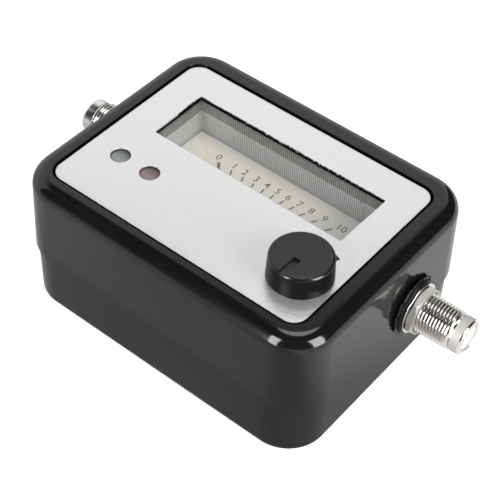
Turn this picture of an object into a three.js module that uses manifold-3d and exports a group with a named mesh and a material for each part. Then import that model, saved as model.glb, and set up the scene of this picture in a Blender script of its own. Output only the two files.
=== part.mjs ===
// A satellite signal meter: a two-part moulded case with a face plate, a moving-needle scale
// in a deep window, two indicator lamps, one knob and a threaded coaxial socket in each end.
// Lengths are in mm and +Z is up. X runs from socket to socket and +Y points to the window side.
// The origin is the middle of the underside.

import * as THREE from 'three';
import * as BufferGeometryUtils from 'three/addons/utils/BufferGeometryUtils.js';
import Module from 'manifold-3d';

const wasm = await Module();
wasm.setup();

// Clearances shared by all pieces
const clearance = 0.3; // between a piece and its seat
const stackGap = 0.15; // between washers, nuts and the threads inside them
const runningGap = 0.1; // round a turning shaft
const overrun = 1; // how far a cutting solid runs past what it cuts

// Numbers of facets
const cornerSteps = 7; // per quarter of a case corner
const edgeSteps = 4; // per quarter of a rounded edge
const smallRoundSteps = 12;
const roundSteps = 24;
const knobSteps = 40;

// Case outside
const caseLength = 81.16; // upper walls just under the rounded top edge
const caseWidth = 62.56;
const caseHeight = 36.5;
const cornerRadius = 9.78;
const topEdgeRadius = 3.5;
const bottomEdgeRadius = 1.45;
const wallFlare = 0.45; // the upper walls lean out by this much at the joint
const jointDrop = 3.9; // of the upper shell's bottom edge under the axis of the sockets
const jointEdgeRadius = 0.25;
const lowerInset = 0.1; // the lower walls stand this far inside the upper ones
const lowerDraft = 0.1; // and draw in by this much more at the bottom

// Case inside
const wallThickness = 2;
const topThickness = 2.84; // under the face plate
const floorThickness = 2;
const innerEdgeRadius = 1.5;
const lipThickness = 1.2; // of the upper wall where it covers the tongue
const tongueHeight = 2;
const tongueThickness = 0.8;

// Case screws and their columns
const screwInset = 6.08; // from both walls
const bossRadius = 3.5;
const postRadius = 4.2;
const screwRadius = 1.4;
const screwHeadRadius = 2.8;
const screwHeadHeight = 1.7;
const screwHeadSeat = 3.5; // how deep the heads are sunk
const screwReach = 20.8; // below the head
const screwHoleSpare = 2; // of the blind holes past the tips of the screws

// Face plate
const plateMarginX = 5.93; // from its edges to the walls, shared out by the shifts below
const plateMarginY = 5.98;
const plateThickness = 0.4;
const plateCornerRadius = 3.6;
const plateShiftX = -0.64;
const plateShiftY = -0.26;
const plateDrop = 0.56; // below the rim round it

// Window in the plate
const windowFromLeft = 8.74;
const windowFromRight = 7.76;
const windowFromFar = 8.93;
const windowFromNear = 25.43;
const windowCornerRadius = 0.3;

// Clear cover of the meter, a tray upside down
const wellMarginX = 0.2; // how far its inner walls stand outside the window
const wellMarginY = 0.6;
const lensWall = 1;
const lensTopThickness = 1;
const lensFlangeWidth = 1.5;
const lensFlangeThickness = 1;
const lensCornerRadius = 1.2;
const ribPitch = 1.1;
const ribDepth = 0.25;
const ribMarginLeft = 9.6; // plain wall before the ribs start
const ribMarginRight = 5.2;
const ribRise = 1.2; // of their lower ends over the scale plate
const needleSlotRoom = 2.3; // over the needle, where it passes under the near wall
const needleSlotMargin = 1.6; // beside the needle at both ends of its swing

// Scale plate and tray of the meter
const scaleDepth = 11; // below the face of the plate
const scaleThickness = 0.5;
const scaleSideGap = 0.15;
const trayWall = 1.2;
const trayFloor = 1.2;
const trayHeight = 5.34;
const movementWidth = 19;
const movementLength = 9.5; // of the tray past the pivot

// Movement
const pivotShift = 0.35; // from the middle of the window
const pivotFromWindow = 11.87;
const restAngle = 126.2; // of the needle, in degrees from +X
const needleSweep = 72.4; // clockwise, to full scale
const needleTipGap = 1.81; // from its tip to the far edge of the window
const needleRootWidth = 1.3;
const needleTipWidth = 0.35;
const needleThickness = 0.4;
const needleRise = 1.86; // over the face of the scale plate
const needleTail = 4.5;
const needleTailWidth = 1.8;
const hubRadius = 1.2;
const pivotPinRadius = 0.35;
const coilLength = 8.6;
const coilHeight = 5.4;
const coilWidth = 2;
const coilWire = 0.75;
const coilStubRadius = 0.8;
const coreRadius = 3;
const coreLugWidth = 2;
const coreLugHeight = 1.6;
const yokeInnerRadius = 4.9;
const yokeOuterRadius = 6.5;
const bridgeWidth = 3;
const bridgeThickness = 1.1;
const bridgeRise = 0.8; // over the needle
const bearingRadius = 1;
const bearingHeadRadius = 1.7;
const bearingHeadHeight = 0.9;
const terminalRadius = 0.5;
const terminalCollarRadius = 0.9;
const terminalCollarHeight = 0.6;
const terminalRise = 1.2;
const terminalInset = 3.4; // from the tray's outer walls

// Indicator lamps
const lampFromLeft = 8.26;
const lampSpacing = 8.72;
const lampFromNear = 14.47;
const lampHoleRadius = 2.35;
const lampRadius = 2.5;
const lampFlangeRadius = 2.9;
const lampFlangeHeight = 1;
const lampHeight = 8.6;
const lampDomeHeight = 0.8;
const lampDrop = 0.25; // of its tip below the face of the plate
const leadRadius = 0.28;
const leadSpacing = 2.54;

// Control and knob
const knobFromRight = 8.53;
const knobFromNear = 12.26;
const knobTop = 5.8; // over the face of the plate
const knobBaseRadius = 7.33;
const knobTopRadius = 6.94;
const knobEdgeRadius = 0.6;
const knobWall = 1;
const knobCrown = 2.5;
const knobFloor = 0.8; // over the end of the shaft
const grooveWidth = 1.7;
const grooveDepth = 0.4;
const grooveCorner = 0.2;
const grooveStart = 1.4; // from the axis of the knob
const pointerAngle = -90; // in degrees from +X
const shaftRadius = 3;
const bushRadius = 3.5;
const potRadius = 8;
const potHeight = 7;
const potLegCircle = 5;
const potLegAngles = [210, 270, 330]; // in degrees from +X
const potLegRadius = 0.5;
const potWasherRadius = 5.6;
const potWasherThickness = 0.4;
const potNutFlats = 9.5;
const potNutHeight = 1.8;
const nutChamfer = 0.3;

// Circuit board
const boardThickness = 1.6;
const boardPostGap = 0.8; // from its ends to the screw columns
const boardWallGap = 2.4;
const boardCornerRadius = 2;
const boardScrewInsetX = 5.5;
const boardScrewInsetY = 4.5;
const boardPostRadius = 2.6;
const boardScrewRadius = 1.1;
const boardScrewHeadRadius = 2.2;
const boardScrewHeadHeight = 1.4;
const boardScrewReach = 7;
const boardScrewHoleSpare = 2.8; // of the blind holes past the tips of the screws
const solderTail = 1.2; // of leads and pins under the board

// Coaxial sockets
const socketY = 8.5;
const threadRadius = 4.7;
const noseRadius = 4.35;
const noseLength = 2.8;
const noseChamfer = 0.45;
const socketReach = 15.1; // from the flared wall to the front of the right socket
const leftSetBack = 1.2; // the left socket sits this much further in
const barrelInside = 6.9; // behind its flange's outer face
const barrelTailRadius = 4.5;
const barrelFlangeRadius = 6.2;
const barrelFlangeThickness = 1.5;
const boreRadius = 3.2;
const boreRecess = 0.5;
const pinEntryRadius = 0.6;
const pinEntryDepth = 1;
const contactRadius = 0.9;
const contactBoreRadius = 0.5;
const contactBoreDepth = 6;
const contactTailRadius = 0.4;
const contactOverBoard = 1.2;
const toothedWasherRadius = 7.3;
const toothRootRadius = 6.3;
const toothedWasherThickness = 0.55;
const toothCount = 12;
const toothShare = 0.62; // of the pitch that a tooth fills
const flatWasherRadius = 6.25;
const flatWasherThickness = 0.45;
const socketNutFlats = 11;
const socketNutHeight = 1.75;
const socketNutTurn = 12; // of its corners, in degrees
const socketWasherSeat = 0.2; // from the flared wall to the first washer

// Heights and places that follow from the sizes above
const plateTop = caseHeight - plateDrop;
const plateBottom = plateTop - plateThickness;
const recessFloor = plateBottom - clearance;
const ceiling = recessFloor - topThickness;
const plateLength = caseLength - 2 * plateMarginX;
const plateWidth = caseWidth - 2 * plateMarginY;
const plateRight = plateShiftX + plateLength / 2;
const plateLeft = plateShiftX - plateLength / 2;
const plateFar = plateShiftY + plateWidth / 2;
const plateNear = plateShiftY - plateWidth / 2;
const windowLength = plateLength - windowFromLeft - windowFromRight;
const windowWidth = plateWidth - windowFromFar - windowFromNear;
const scaleTop = plateTop - scaleDepth;
const scaleBottom = scaleTop - scaleThickness;
const trayRim = scaleBottom - clearance;
const trayBottom = trayRim - trayHeight;
const trayInside = trayBottom + trayFloor;
const boardTop = trayBottom - clearance;
const boardBottom = boardTop - boardThickness;
const solderEnd = boardBottom - solderTail;
const socketHeight = boardTop + clearance + contactTailRadius;
const jointHeight = socketHeight - jointDrop; // bottom edge of the upper shell
const tongueTop = jointHeight + tongueHeight;
const needleLength = pivotFromWindow + windowWidth - needleTipGap;
const needleHeight = scaleTop + needleRise;
const needleSlotTop = needleHeight + needleThickness + needleSlotRoom;
const bridgeTop = needleHeight + needleThickness + bridgeRise + bridgeThickness;
const movementSeat = trayInside + clearance;
const coilBottom = movementSeat + runningGap;
const screwSeat = screwHeadSeat - clearance;
const screwHoleTop = screwSeat + screwReach + screwHoleSpare;
const boardScrewSeat = boardTop + clearance;
const boardScrewHoleBottom = boardScrewSeat - boardScrewReach - boardScrewHoleSpare;
const screwX = caseLength / 2 - screwInset;
const screwY = caseWidth / 2 - screwInset;

// Outlines in plan: a rounded rectangle with its middle, half sizes and corner radius
const upperPlan = rectangle(0, 0, caseLength / 2, caseWidth / 2, cornerRadius);
const flaredPlan = grown(upperPlan, wallFlare);
const lowerPlan = grown(upperPlan, -lowerInset);
const tonguePlan = grown(flaredPlan, -lipThickness - clearance);
const lowerCavityPlan = grown(tonguePlan, -tongueThickness);
const platePlan = rectangle(plateShiftX, plateShiftY, plateLength / 2, plateWidth / 2, plateCornerRadius);
const windowPlan = rectangle(
  plateRight - windowFromRight - windowLength / 2,
  plateFar - windowFromFar - windowWidth / 2,
  windowLength / 2,
  windowWidth / 2,
  windowCornerRadius,
);
const wellPlan = rectangle(
  windowPlan.x,
  windowPlan.y,
  windowPlan.halfX + wellMarginX,
  windowPlan.halfY + wellMarginY,
  windowCornerRadius,
);
const lensPlan = { ...grown(wellPlan, lensWall), radius: lensCornerRadius };
const pivot = {
  x: windowPlan.x + pivotShift,
  y: windowPlan.y - windowPlan.halfY - pivotFromWindow,
};
const knobPlace = { x: plateRight - knobFromRight, y: plateNear + knobFromNear };
const lampPlaces = [0, 1].map((number) => ({
  x: plateLeft + lampFromLeft + number * lampSpacing,
  y: plateNear + lampFromNear,
}));
const boardPlan = rectangle(
  0,
  0,
  screwX - postRadius - boardPostGap,
  lowerCavityPlan.halfY - boardWallGap,
  boardCornerRadius,
);
const boardPostPlaces = fourCorners(boardPlan.halfX - boardScrewInsetX, boardPlan.halfY - boardScrewInsetY);
const boardScrewPlaces = [boardPostPlaces[0], boardPostPlaces[2]];
const caseScrewPlaces = fourCorners(screwX, screwY);
const trayNear = pivot.y - movementLength;
const terminalPlaces = [-1, 1].map((side) => ({
  x: pivot.x + side * (movementWidth / 2 - terminalInset),
  y: trayNear + terminalInset,
}));
const potLegPlaces = potLegAngles.map((angle) => ({
  x: knobPlace.x + potLegCircle * Math.cos(radians(angle)),
  y: knobPlace.y + potLegCircle * Math.sin(radians(angle)),
}));
const leadPlaces = lampPlaces.map((lamp) => [-1, 1].map((side) => ({
  x: lamp.x + side * leadSpacing / 2,
  y: lamp.y,
})));

function radians(degrees) {
  return THREE.MathUtils.degToRad(degrees);
}

function rectangle(x, y, halfX, halfY, radius) {
  return { x, y, halfX, halfY, radius };
}

function grown(plan, amount) {
  return {
    x: plan.x,
    y: plan.y,
    halfX: plan.halfX + amount,
    halfY: plan.halfY + amount,
    radius: Math.max(plan.radius + amount, 0),
  };
}

function fourCorners(x, y) {
  return [{ x, y }, { x: -x, y }, { x: -x, y: -y }, { x, y: -y }];
}

// The points of a plan outline, counter-clockwise
function outlinePoints(plan) {
  const corners = fourCorners(plan.halfX - plan.radius, plan.halfY - plan.radius);
  return corners.flatMap((corner, quarter) => {
    const points = [];
    for (let step = 0; step <= cornerSteps; step += 1) {
      const angle = (quarter + step / cornerSteps) * Math.PI / 2;
      points.push(new THREE.Vector2(
        plan.x + corner.x + plan.radius * Math.cos(angle),
        plan.y + corner.y + plan.radius * Math.sin(angle),
      ));
    }
    return points;
  });
}

// A solid skinned over plan outlines at rising heights, each level being [plan, height]
function loft(levels) {
  const rings = levels.map(([plan, height]) => outlinePoints(plan).map(({ x, y }) => [x, y, height]));
  const count = rings[0].length;
  const indices = [];
  for (let level = 0; level < rings.length - 1; level += 1) {
    for (let index = 0; index < count; index += 1) {
      const low = level * count + index;
      const lowNext = level * count + (index + 1) % count;
      indices.push(low, lowNext, lowNext + count);
      indices.push(low, lowNext + count, low + count);
    }
  }
  const last = (rings.length - 1) * count;
  for (let index = 1; index < count - 1; index += 1) {
    indices.push(0, index + 1, index);
    indices.push(last, last + index, last + index + 1);
  }
  const geometry = new THREE.BufferGeometry();
  geometry.setAttribute('position', new THREE.Float32BufferAttribute(rings.flat(2), 3));
  geometry.setIndex(indices);
  return geometry;
}

function slab(plan, bottom, top) {
  return loft([[plan, bottom], [plan, top]]);
}

// Levels that round a wall over to a flat top, or up from a flat bottom
function topEdge(plan, radius, top) {
  return quarterSteps().map((angle) => [
    grown(plan, radius * (Math.cos(angle) - 1)),
    top + radius * (Math.sin(angle) - 1),
  ]);
}

function bottomEdge(plan, radius, bottom) {
  return quarterSteps().map((angle) => [
    grown(plan, radius * (Math.sin(angle) - 1)),
    bottom - radius * (Math.cos(angle) - 1),
  ]);
}

function quarterSteps() {
  return Array.from({ length: edgeSteps + 1 }, (_, step) => step / edgeSteps * Math.PI / 2);
}

// A solid of revolution about Z; the profile is a list of [radius, height]
function turned(profile, steps = roundSteps) {
  const points = profile.map(([radius, height]) => new THREE.Vector2(radius, height));
  return new THREE.LatheGeometry(points, steps).rotateX(Math.PI / 2);
}

function cylinder(radius, bottom, top, steps = roundSteps) {
  return turned([[0, bottom], [radius, bottom], [radius, top], [0, top]], steps);
}

function tube(innerRadius, outerRadius, bottom, top, steps = roundSteps) {
  return turned([
    [innerRadius, bottom],
    [outerRadius, bottom],
    [outerRadius, top],
    [innerRadius, top],
    [innerRadius, bottom],
  ], steps);
}

function extruded(shape, bottom, top) {
  const settings = { depth: top - bottom, bevelEnabled: false, curveSegments: roundSteps / 2 };
  return new THREE.ExtrudeGeometry(shape, settings).translate(0, 0, bottom);
}

function polygon(pairs) {
  return new THREE.Shape(pairs.map(([x, y]) => new THREE.Vector2(x, y)));
}

function circleHole(radius) {
  return new THREE.Path().absarc(0, 0, radius, 0, Math.PI * 2, true);
}

function placed(geometry, { x, y }) {
  return geometry.clone().translate(x, y, 0);
}

// Boolean solids
function solid(geometry) {
  const bare = geometry.clone();
  bare.deleteAttribute('normal');
  bare.deleteAttribute('uv');
  const merged = BufferGeometryUtils.mergeVertices(bare);
  const corners = merged.index.array;
  const triangles = [];
  for (let start = 0; start < corners.length; start += 3) {
    const [first, second, third] = corners.slice(start, start + 3);
    if (first !== second && second !== third && third !== first) {
      triangles.push(first, second, third);
    }
  }
  return new wasm.Manifold(new wasm.Mesh({
    numProp: 3,
    vertProperties: merged.attributes.position.array,
    triVerts: Uint32Array.from(triangles),
  }));
}

function joined(geometries) {
  return geometries.map(solid).reduce((sum, next) => sum.add(next));
}

function withCuts(body, geometries) {
  return geometries.reduce((rest, geometry) => rest.subtract(solid(geometry)), body);
}

function geometryOf(body) {
  const mesh = body.getMesh();
  const geometry = new THREE.BufferGeometry();
  geometry.setAttribute('position', new THREE.BufferAttribute(Float32Array.from(mesh.vertProperties), 3));
  geometry.setIndex(new THREE.BufferAttribute(Uint32Array.from(mesh.triVerts), 1));
  return geometry;
}

// Scene graph
function group(parent, x = 0, y = 0, z = 0) {
  const child = new THREE.Group();
  child.position.set(x, y, z);
  parent.add(child);
  return child;
}

function piece(parent, name, geometry, color, roughness, metalness, opacity = 1) {
  const settings = { color, roughness, metalness, opacity, transparent: opacity < 1 };
  const mesh = new THREE.Mesh(geometry, new THREE.MeshStandardMaterial(settings));
  mesh.name = name;
  parent.add(mesh);
  return mesh;
}

// Holes through both halves of the case for the threads of the sockets
function socketHoles() {
  const from = lowerCavityPlan.halfX - overrun;
  const to = flaredPlan.halfX + overrun;
  return [-1, 1].map((side) => cylinder(threadRadius + clearance, from, to)
    .rotateY(side * Math.PI / 2)
    .translate(0, socketY, socketHeight));
}

function upperShell() {
  const outside = loft([
    [grown(flaredPlan, -jointEdgeRadius), jointHeight],
    [flaredPlan, jointHeight + jointEdgeRadius],
    ...topEdge(upperPlan, topEdgeRadius, caseHeight),
  ]);
  const rebateTop = tongueTop + clearance;
  const hollow = loft([
    [grown(flaredPlan, -lipThickness), jointHeight - overrun],
    [grown(flaredPlan, -lipThickness), rebateTop],
    [grown(flaredPlan, -wallThickness), rebateTop],
    ...topEdge(grown(upperPlan, -wallThickness), innerEdgeRadius, ceiling),
  ]);
  const bosses = caseScrewPlaces.map((place) => placed(
    cylinder(bossRadius, rebateTop, caseHeight, smallRoundSteps),
    place,
  ));
  const screwHoles = caseScrewPlaces.map((place) => placed(
    cylinder(screwRadius + runningGap, rebateTop - overrun, screwHoleTop, smallRoundSteps),
    place,
  ));
  const lampHoles = lampPlaces.map((place) => placed(
    cylinder(lampRadius + clearance, ceiling - overrun, caseHeight),
    place,
  ));
  const shell = solid(outside).subtract(withCuts(solid(hollow), bosses));
  return geometryOf(withCuts(shell, [
    slab(grown(platePlan, clearance), recessFloor, caseHeight + overrun),
    slab(grown(lensPlan, clearance), ceiling - overrun, caseHeight),
    placed(cylinder(bushRadius + clearance, ceiling - overrun, caseHeight), knobPlace),
    ...screwHoles,
    ...lampHoles,
    ...socketHoles(),
  ]));
}

function lowerShell() {
  const jointFace = jointHeight - clearance;
  const outside = loft([
    ...bottomEdge(grown(lowerPlan, -lowerDraft), bottomEdgeRadius, 0),
    [lowerPlan, jointFace],
    [tonguePlan, jointFace],
    [tonguePlan, tongueTop],
  ]);
  const hollow = loft([
    ...bottomEdge(lowerCavityPlan, innerEdgeRadius, floorThickness),
    [lowerCavityPlan, tongueTop + overrun],
  ]);
  const screwPosts = caseScrewPlaces.map((place) => placed(
    cylinder(postRadius, 0, tongueTop, smallRoundSteps),
    place,
  ));
  const boardPosts = boardPostPlaces.map((place) => placed(
    cylinder(boardPostRadius, 0, boardBottom - clearance, smallRoundSteps),
    place,
  ));
  const headHoles = caseScrewPlaces.map((place) => placed(
    cylinder(screwHeadRadius + clearance, -overrun, screwHeadSeat),
    place,
  ));
  const shankHoles = caseScrewPlaces.map((place) => placed(
    cylinder(screwRadius + clearance, 0, tongueTop + overrun, smallRoundSteps),
    place,
  ));
  const boardHoles = boardScrewPlaces.map((place) => placed(
    cylinder(boardScrewRadius + runningGap, boardScrewHoleBottom, boardTop, smallRoundSteps),
    place,
  ));
  const shell = solid(outside).subtract(withCuts(solid(hollow), [...screwPosts, ...boardPosts]));
  return geometryOf(withCuts(shell, [...headHoles, ...shankHoles, ...boardHoles, ...socketHoles()]));
}

function facePlate() {
  const below = plateBottom - overrun;
  const above = plateTop + overrun;
  return geometryOf(withCuts(solid(slab(platePlan, plateBottom, plateTop)), [
    slab(windowPlan, below, above),
    placed(cylinder(bushRadius + clearance, below, above), knobPlace),
    ...lampPlaces.map((place) => placed(cylinder(lampHoleRadius, below, above), place)),
  ]));
}

// The well's outline with a row of upright ribs on the inside of its far wall
function ribbedWell() {
  const left = wellPlan.x - wellPlan.halfX;
  const right = wellPlan.x + wellPlan.halfX;
  const far = wellPlan.y + wellPlan.halfY;
  const near = wellPlan.y - wellPlan.halfY;
  const first = left + ribMarginLeft;
  const count = Math.floor((right - ribMarginRight - first) / ribPitch);
  const points = [[left, near], [right, near], [right, far]];
  for (let rib = count - 1; rib >= 0; rib -= 1) {
    points.push([first + (rib + 1) * ribPitch, far]);
    points.push([first + (rib + 1 / 2) * ribPitch, far - ribDepth]);
  }
  points.push([first, far], [left, far]);
  return polygon(points);
}

function meterLens() {
  const bottom = trayRim + clearance;
  const roof = recessFloor - lensTopThickness;
  const flangeTop = ceiling - clearance;
  const wellNear = wellPlan.y - wellPlan.halfY;
  const slotStart = (wellNear - pivot.y) / Math.tan(radians(restAngle));
  const slotEnd = (wellNear - pivot.y) / Math.tan(radians(restAngle - needleSweep));
  const slotPlan = rectangle(
    pivot.x + (slotStart + slotEnd) / 2,
    wellNear,
    (slotEnd - slotStart) / 2 + needleSlotMargin,
    lensWall + lensFlangeWidth,
    0,
  );
  const body = joined([
    slab(lensPlan, bottom, recessFloor),
    slab(grown(lensPlan, lensFlangeWidth), flangeTop - lensFlangeThickness, flangeTop),
  ]);
  return geometryOf(withCuts(body, [
    extruded(ribbedWell(), bottom - overrun, roof),
    slab(wellPlan, bottom - overrun, scaleTop + ribRise),
    slab(slotPlan, bottom - overrun, needleSlotTop),
  ]));
}

function scalePlate() {
  return slab(grown(wellPlan, -scaleSideGap), scaleBottom, scaleTop);
}

// The tray under the scale plate, with a narrower part that carries the movement
function trayOutline(inset) {
  const left = lensPlan.x - lensPlan.halfX + inset;
  const right = lensPlan.x + lensPlan.halfX - inset;
  const far = lensPlan.y + lensPlan.halfY - inset;
  const middle = lensPlan.y - lensPlan.halfY + inset;
  const halfMovement = movementWidth / 2 - inset;
  return polygon([
    [pivot.x - halfMovement, trayNear + inset],
    [pivot.x + halfMovement, trayNear + inset],
    [pivot.x + halfMovement, middle],
    [right, middle],
    [right, far],
    [left, far],
    [left, middle],
    [pivot.x - halfMovement, middle],
  ]);
}

function meterBase() {
  const body = solid(extruded(trayOutline(0), trayBottom, trayRim));
  return geometryOf(withCuts(body, [
    extruded(trayOutline(trayWall), trayInside, trayRim + overrun),
    ...terminalPlaces.map((place) => placed(
      cylinder(terminalRadius + stackGap, trayBottom - overrun, trayInside + overrun, smallRoundSteps),
      place,
    )),
  ]));
}

// The pointer points along +X here, with its pivot at the origin
function needleBody() {
  const blade = polygon([
    [-needleTail, -needleTailWidth / 2],
    [0, -needleRootWidth / 2],
    [needleLength, -needleTipWidth / 2],
    [needleLength, needleTipWidth / 2],
    [0, needleRootWidth / 2],
    [-needleTail, needleTailWidth / 2],
  ]);
  const top = needleThickness;
  const pinTop = top + bridgeRise / 2;
  return geometryOf(joined([
    extruded(blade, 0, top),
    cylinder(hubRadius, 0, top, smallRoundSteps),
    cylinder(pivotPinRadius, 0, pinTop, smallRoundSteps),
  ]));
}

// The coil stands across the pointer
function coilBody() {
  const top = coilBottom + coilHeight;
  const outside = rectangle(0, 0, coilWidth / 2, coilLength / 2, coilWire / 2);
  const inside = rectangle(0, 0, coilWidth, coilLength / 2 - coilWire, 0);
  const stubTop = needleHeight - clearance;
  const frame = solid(slab(outside, coilBottom, top))
    .subtract(solid(slab(inside, coilBottom + coilWire, top - coilWire)));
  return geometryOf(frame
    .add(solid(cylinder(coilStubRadius, top - coilWire / 2, stubTop, smallRoundSteps)))
    .add(solid(cylinder(pivotPinRadius, trayInside + runningGap, coilBottom + coilWire / 2, smallRoundSteps))));
}

function coreBody() {
  const low = coilBottom + coilWire + stackGap;
  const high = coilBottom + coilHeight - coilWire - stackGap;
  const middle = (low + high) / 2;
  const lugPlan = rectangle(0, 0, coreLugWidth / 2, yokeInnerRadius - stackGap, coreLugWidth / 4);
  return geometryOf(joined([
    cylinder(coreRadius, low, high),
    slab(lugPlan, middle - coreLugHeight / 2, middle + coreLugHeight / 2),
  ]));
}

function bridgeBody() {
  const inner = yokeOuterRadius + clearance;
  const outer = inner + bridgeThickness;
  const under = bridgeTop - bridgeThickness;
  const arch = polygon([
    [-outer, movementSeat],
    [-inner, movementSeat],
    [-inner, under],
    [inner, under],
    [inner, movementSeat],
    [outer, movementSeat],
    [outer, bridgeTop],
    [-outer, bridgeTop],
  ]);
  const body = extruded(arch, -bridgeWidth / 2, bridgeWidth / 2).rotateX(Math.PI / 2);
  const hole = cylinder(bearingRadius + stackGap, under - overrun, bridgeTop + overrun, smallRoundSteps);
  return geometryOf(withCuts(solid(body), [hole]));
}

function bearingBody() {
  const head = bridgeTop + stackGap;
  const tip = needleHeight + needleThickness + bridgeRise / 2 + stackGap;
  return turned([
    [0, tip],
    [bearingRadius, tip],
    [bearingRadius, head],
    [bearingHeadRadius, head],
    [bearingHeadRadius, head + bearingHeadHeight],
    [0, head + bearingHeadHeight],
  ], smallRoundSteps);
}

function terminalBody() {
  const collarTop = movementSeat + terminalCollarHeight;
  return turned([
    [0, solderEnd],
    [terminalRadius, solderEnd],
    [terminalRadius, movementSeat],
    [terminalCollarRadius, movementSeat],
    [terminalCollarRadius, collarTop],
    [terminalRadius, collarTop],
    [terminalRadius, collarTop + terminalRise],
    [0, collarTop + terminalRise],
  ], smallRoundSteps);
}

function lampBody() {
  const tip = plateTop - lampDrop;
  const bottom = tip - lampHeight;
  const dome = quarterSteps().map((angle) => [
    lampRadius * Math.cos(angle),
    tip + lampDomeHeight * (Math.sin(angle) - 1),
  ]);
  return turned([
    [0, bottom],
    [lampFlangeRadius, bottom],
    [lampFlangeRadius, bottom + lampFlangeHeight],
    [lampRadius, bottom + lampFlangeHeight],
    ...dome.slice(0, -1),
    [0, tip],
  ]);
}

function leadBody() {
  const top = plateTop - lampDrop - lampHeight - clearance;
  return cylinder(leadRadius, solderEnd, top, smallRoundSteps);
}

function boardBody() {
  const low = boardBottom - overrun;
  const high = boardTop + overrun;
  const hole = (radius, place) => placed(cylinder(radius, low, high, smallRoundSteps), place);
  return geometryOf(withCuts(solid(slab(boardPlan, boardBottom, boardTop)), [
    ...boardScrewPlaces.map((place) => hole(boardScrewRadius + clearance, place)),
    ...leadPlaces.flat().map((place) => hole(leadRadius + stackGap, place)),
    ...terminalPlaces.map((place) => hole(terminalRadius + stackGap, place)),
    ...potLegPlaces.map((place) => hole(potLegRadius + stackGap, place)),
  ]));
}

// A screw with its axis along Z; the shank leaves the head towards the side given as 1 or -1
function screwBody(shankRadius, headRadius, headHeight, reach, seat, side) {
  const profile = [
    [0, seat - side * headHeight],
    [headRadius * 3 / 4, seat - side * headHeight],
    [headRadius, seat - side * headHeight / 2],
    [headRadius, seat],
    [shankRadius, seat],
    [shankRadius, seat + side * (reach - shankRadius)],
    [0, seat + side * reach],
  ];
  return turned(side > 0 ? profile : profile.reverse(), smallRoundSteps);
}

// A hexagonal nut with chamfered corners and a plain bore
function nutBody(acrossFlats, boreOfNut, bottom, top) {
  const cornerRadiusOfNut = acrossFlats / Math.sqrt(3);
  const corners = Array.from({ length: 6 }, (_, corner) => [
    cornerRadiusOfNut * Math.cos(corner * Math.PI / 3),
    cornerRadiusOfNut * Math.sin(corner * Math.PI / 3),
  ]);
  const shape = polygon(corners);
  shape.holes.push(circleHole(boreOfNut));
  const rounded = turned([
    [0, bottom],
    [acrossFlats / 2, bottom],
    [cornerRadiusOfNut, bottom + nutChamfer],
    [cornerRadiusOfNut, top - nutChamfer],
    [acrossFlats / 2, top],
    [0, top],
  ]);
  return geometryOf(solid(extruded(shape, bottom, top)).intersect(solid(rounded)));
}

function potBody() {
  const top = ceiling - clearance;
  const bottom = top - potHeight;
  const bushTop = plateTop + clearance + potWasherThickness + stackGap + potNutHeight + stackGap;
  const canister = turned([
    [shaftRadius + runningGap, bottom + potHeight / 3],
    [0, bottom + potHeight / 3],
    [0, bottom],
    [potRadius, bottom],
    [potRadius, top],
    [bushRadius, top],
    [bushRadius, bushTop],
    [shaftRadius + runningGap, bushTop],
    [shaftRadius + runningGap, bottom + potHeight / 3],
  ]);
  const legs = potLegPlaces.map(({ x, y }) => cylinder(
    potLegRadius,
    solderEnd,
    bottom + potHeight / 6,
    smallRoundSteps,
  ).translate(x - knobPlace.x, y - knobPlace.y, 0));
  return geometryOf(joined([canister, ...legs]));
}

// Knob sizes over the face of the plate, where the knob's group stands
function knobBody() {
  const base = clearance;
  const crown = knobTop - knobCrown;
  const shaftEnd = knobTop - knobFloor;
  const edge = quarterSteps().map((angle) => [
    knobTopRadius + knobEdgeRadius * (Math.cos(angle) - 1),
    knobTop + knobEdgeRadius * (Math.sin(angle) - 1),
  ]);
  const cap = turned([
    [knobBaseRadius - knobWall, base],
    [knobBaseRadius, base],
    ...edge,
    [0, knobTop],
    [0, shaftEnd],
    [shaftRadius + runningGap, shaftEnd],
    [shaftRadius + runningGap, crown],
    [knobTopRadius - knobWall, crown],
    [knobBaseRadius - knobWall, base],
  ], knobSteps);
  const grooveEnd = knobBaseRadius + overrun;
  const groovePlan = rectangle(
    (grooveStart + grooveEnd) / 2,
    0,
    (grooveEnd - grooveStart) / 2,
    grooveWidth / 2,
    grooveCorner,
  );
  const groove = slab(groovePlan, knobTop - grooveDepth, knobTop + overrun)
    .rotateZ(radians(pointerAngle));
  return geometryOf(withCuts(solid(cap), [groove]));
}

function shaftBody() {
  const bottom = ceiling - potHeight * 2 / 3 - plateTop;
  return cylinder(shaftRadius, bottom, knobTop - knobFloor - runningGap);
}

// Socket pieces have their axis along Z, with 0 at the outer face of the barrel's flange
function barrelBody(front) {
  const threadEnd = front - noseLength;
  return turned([
    [boreRadius, -barrelInside],
    [barrelTailRadius, -barrelInside],
    [barrelTailRadius, -barrelFlangeThickness],
    [barrelFlangeRadius, -barrelFlangeThickness],
    [barrelFlangeRadius, 0],
    [threadRadius, 0],
    [threadRadius, threadEnd],
    [noseRadius, threadEnd + threadRadius - noseRadius],
    [noseRadius, front - noseChamfer],
    [noseRadius - noseChamfer, front],
    [boreRadius, front],
    [boreRadius, -barrelInside],
  ]);
}

function insulatorBody(front) {
  const face = front - boreRecess;
  const inner = contactRadius + stackGap;
  const outer = boreRadius - stackGap;
  return turned([
    [inner, -barrelInside],
    [outer, -barrelInside],
    [outer, face],
    [pinEntryRadius, face],
    [pinEntryRadius, face - pinEntryDepth],
    [inner, face - pinEntryDepth],
    [inner, -barrelInside],
  ]);
}

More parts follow.
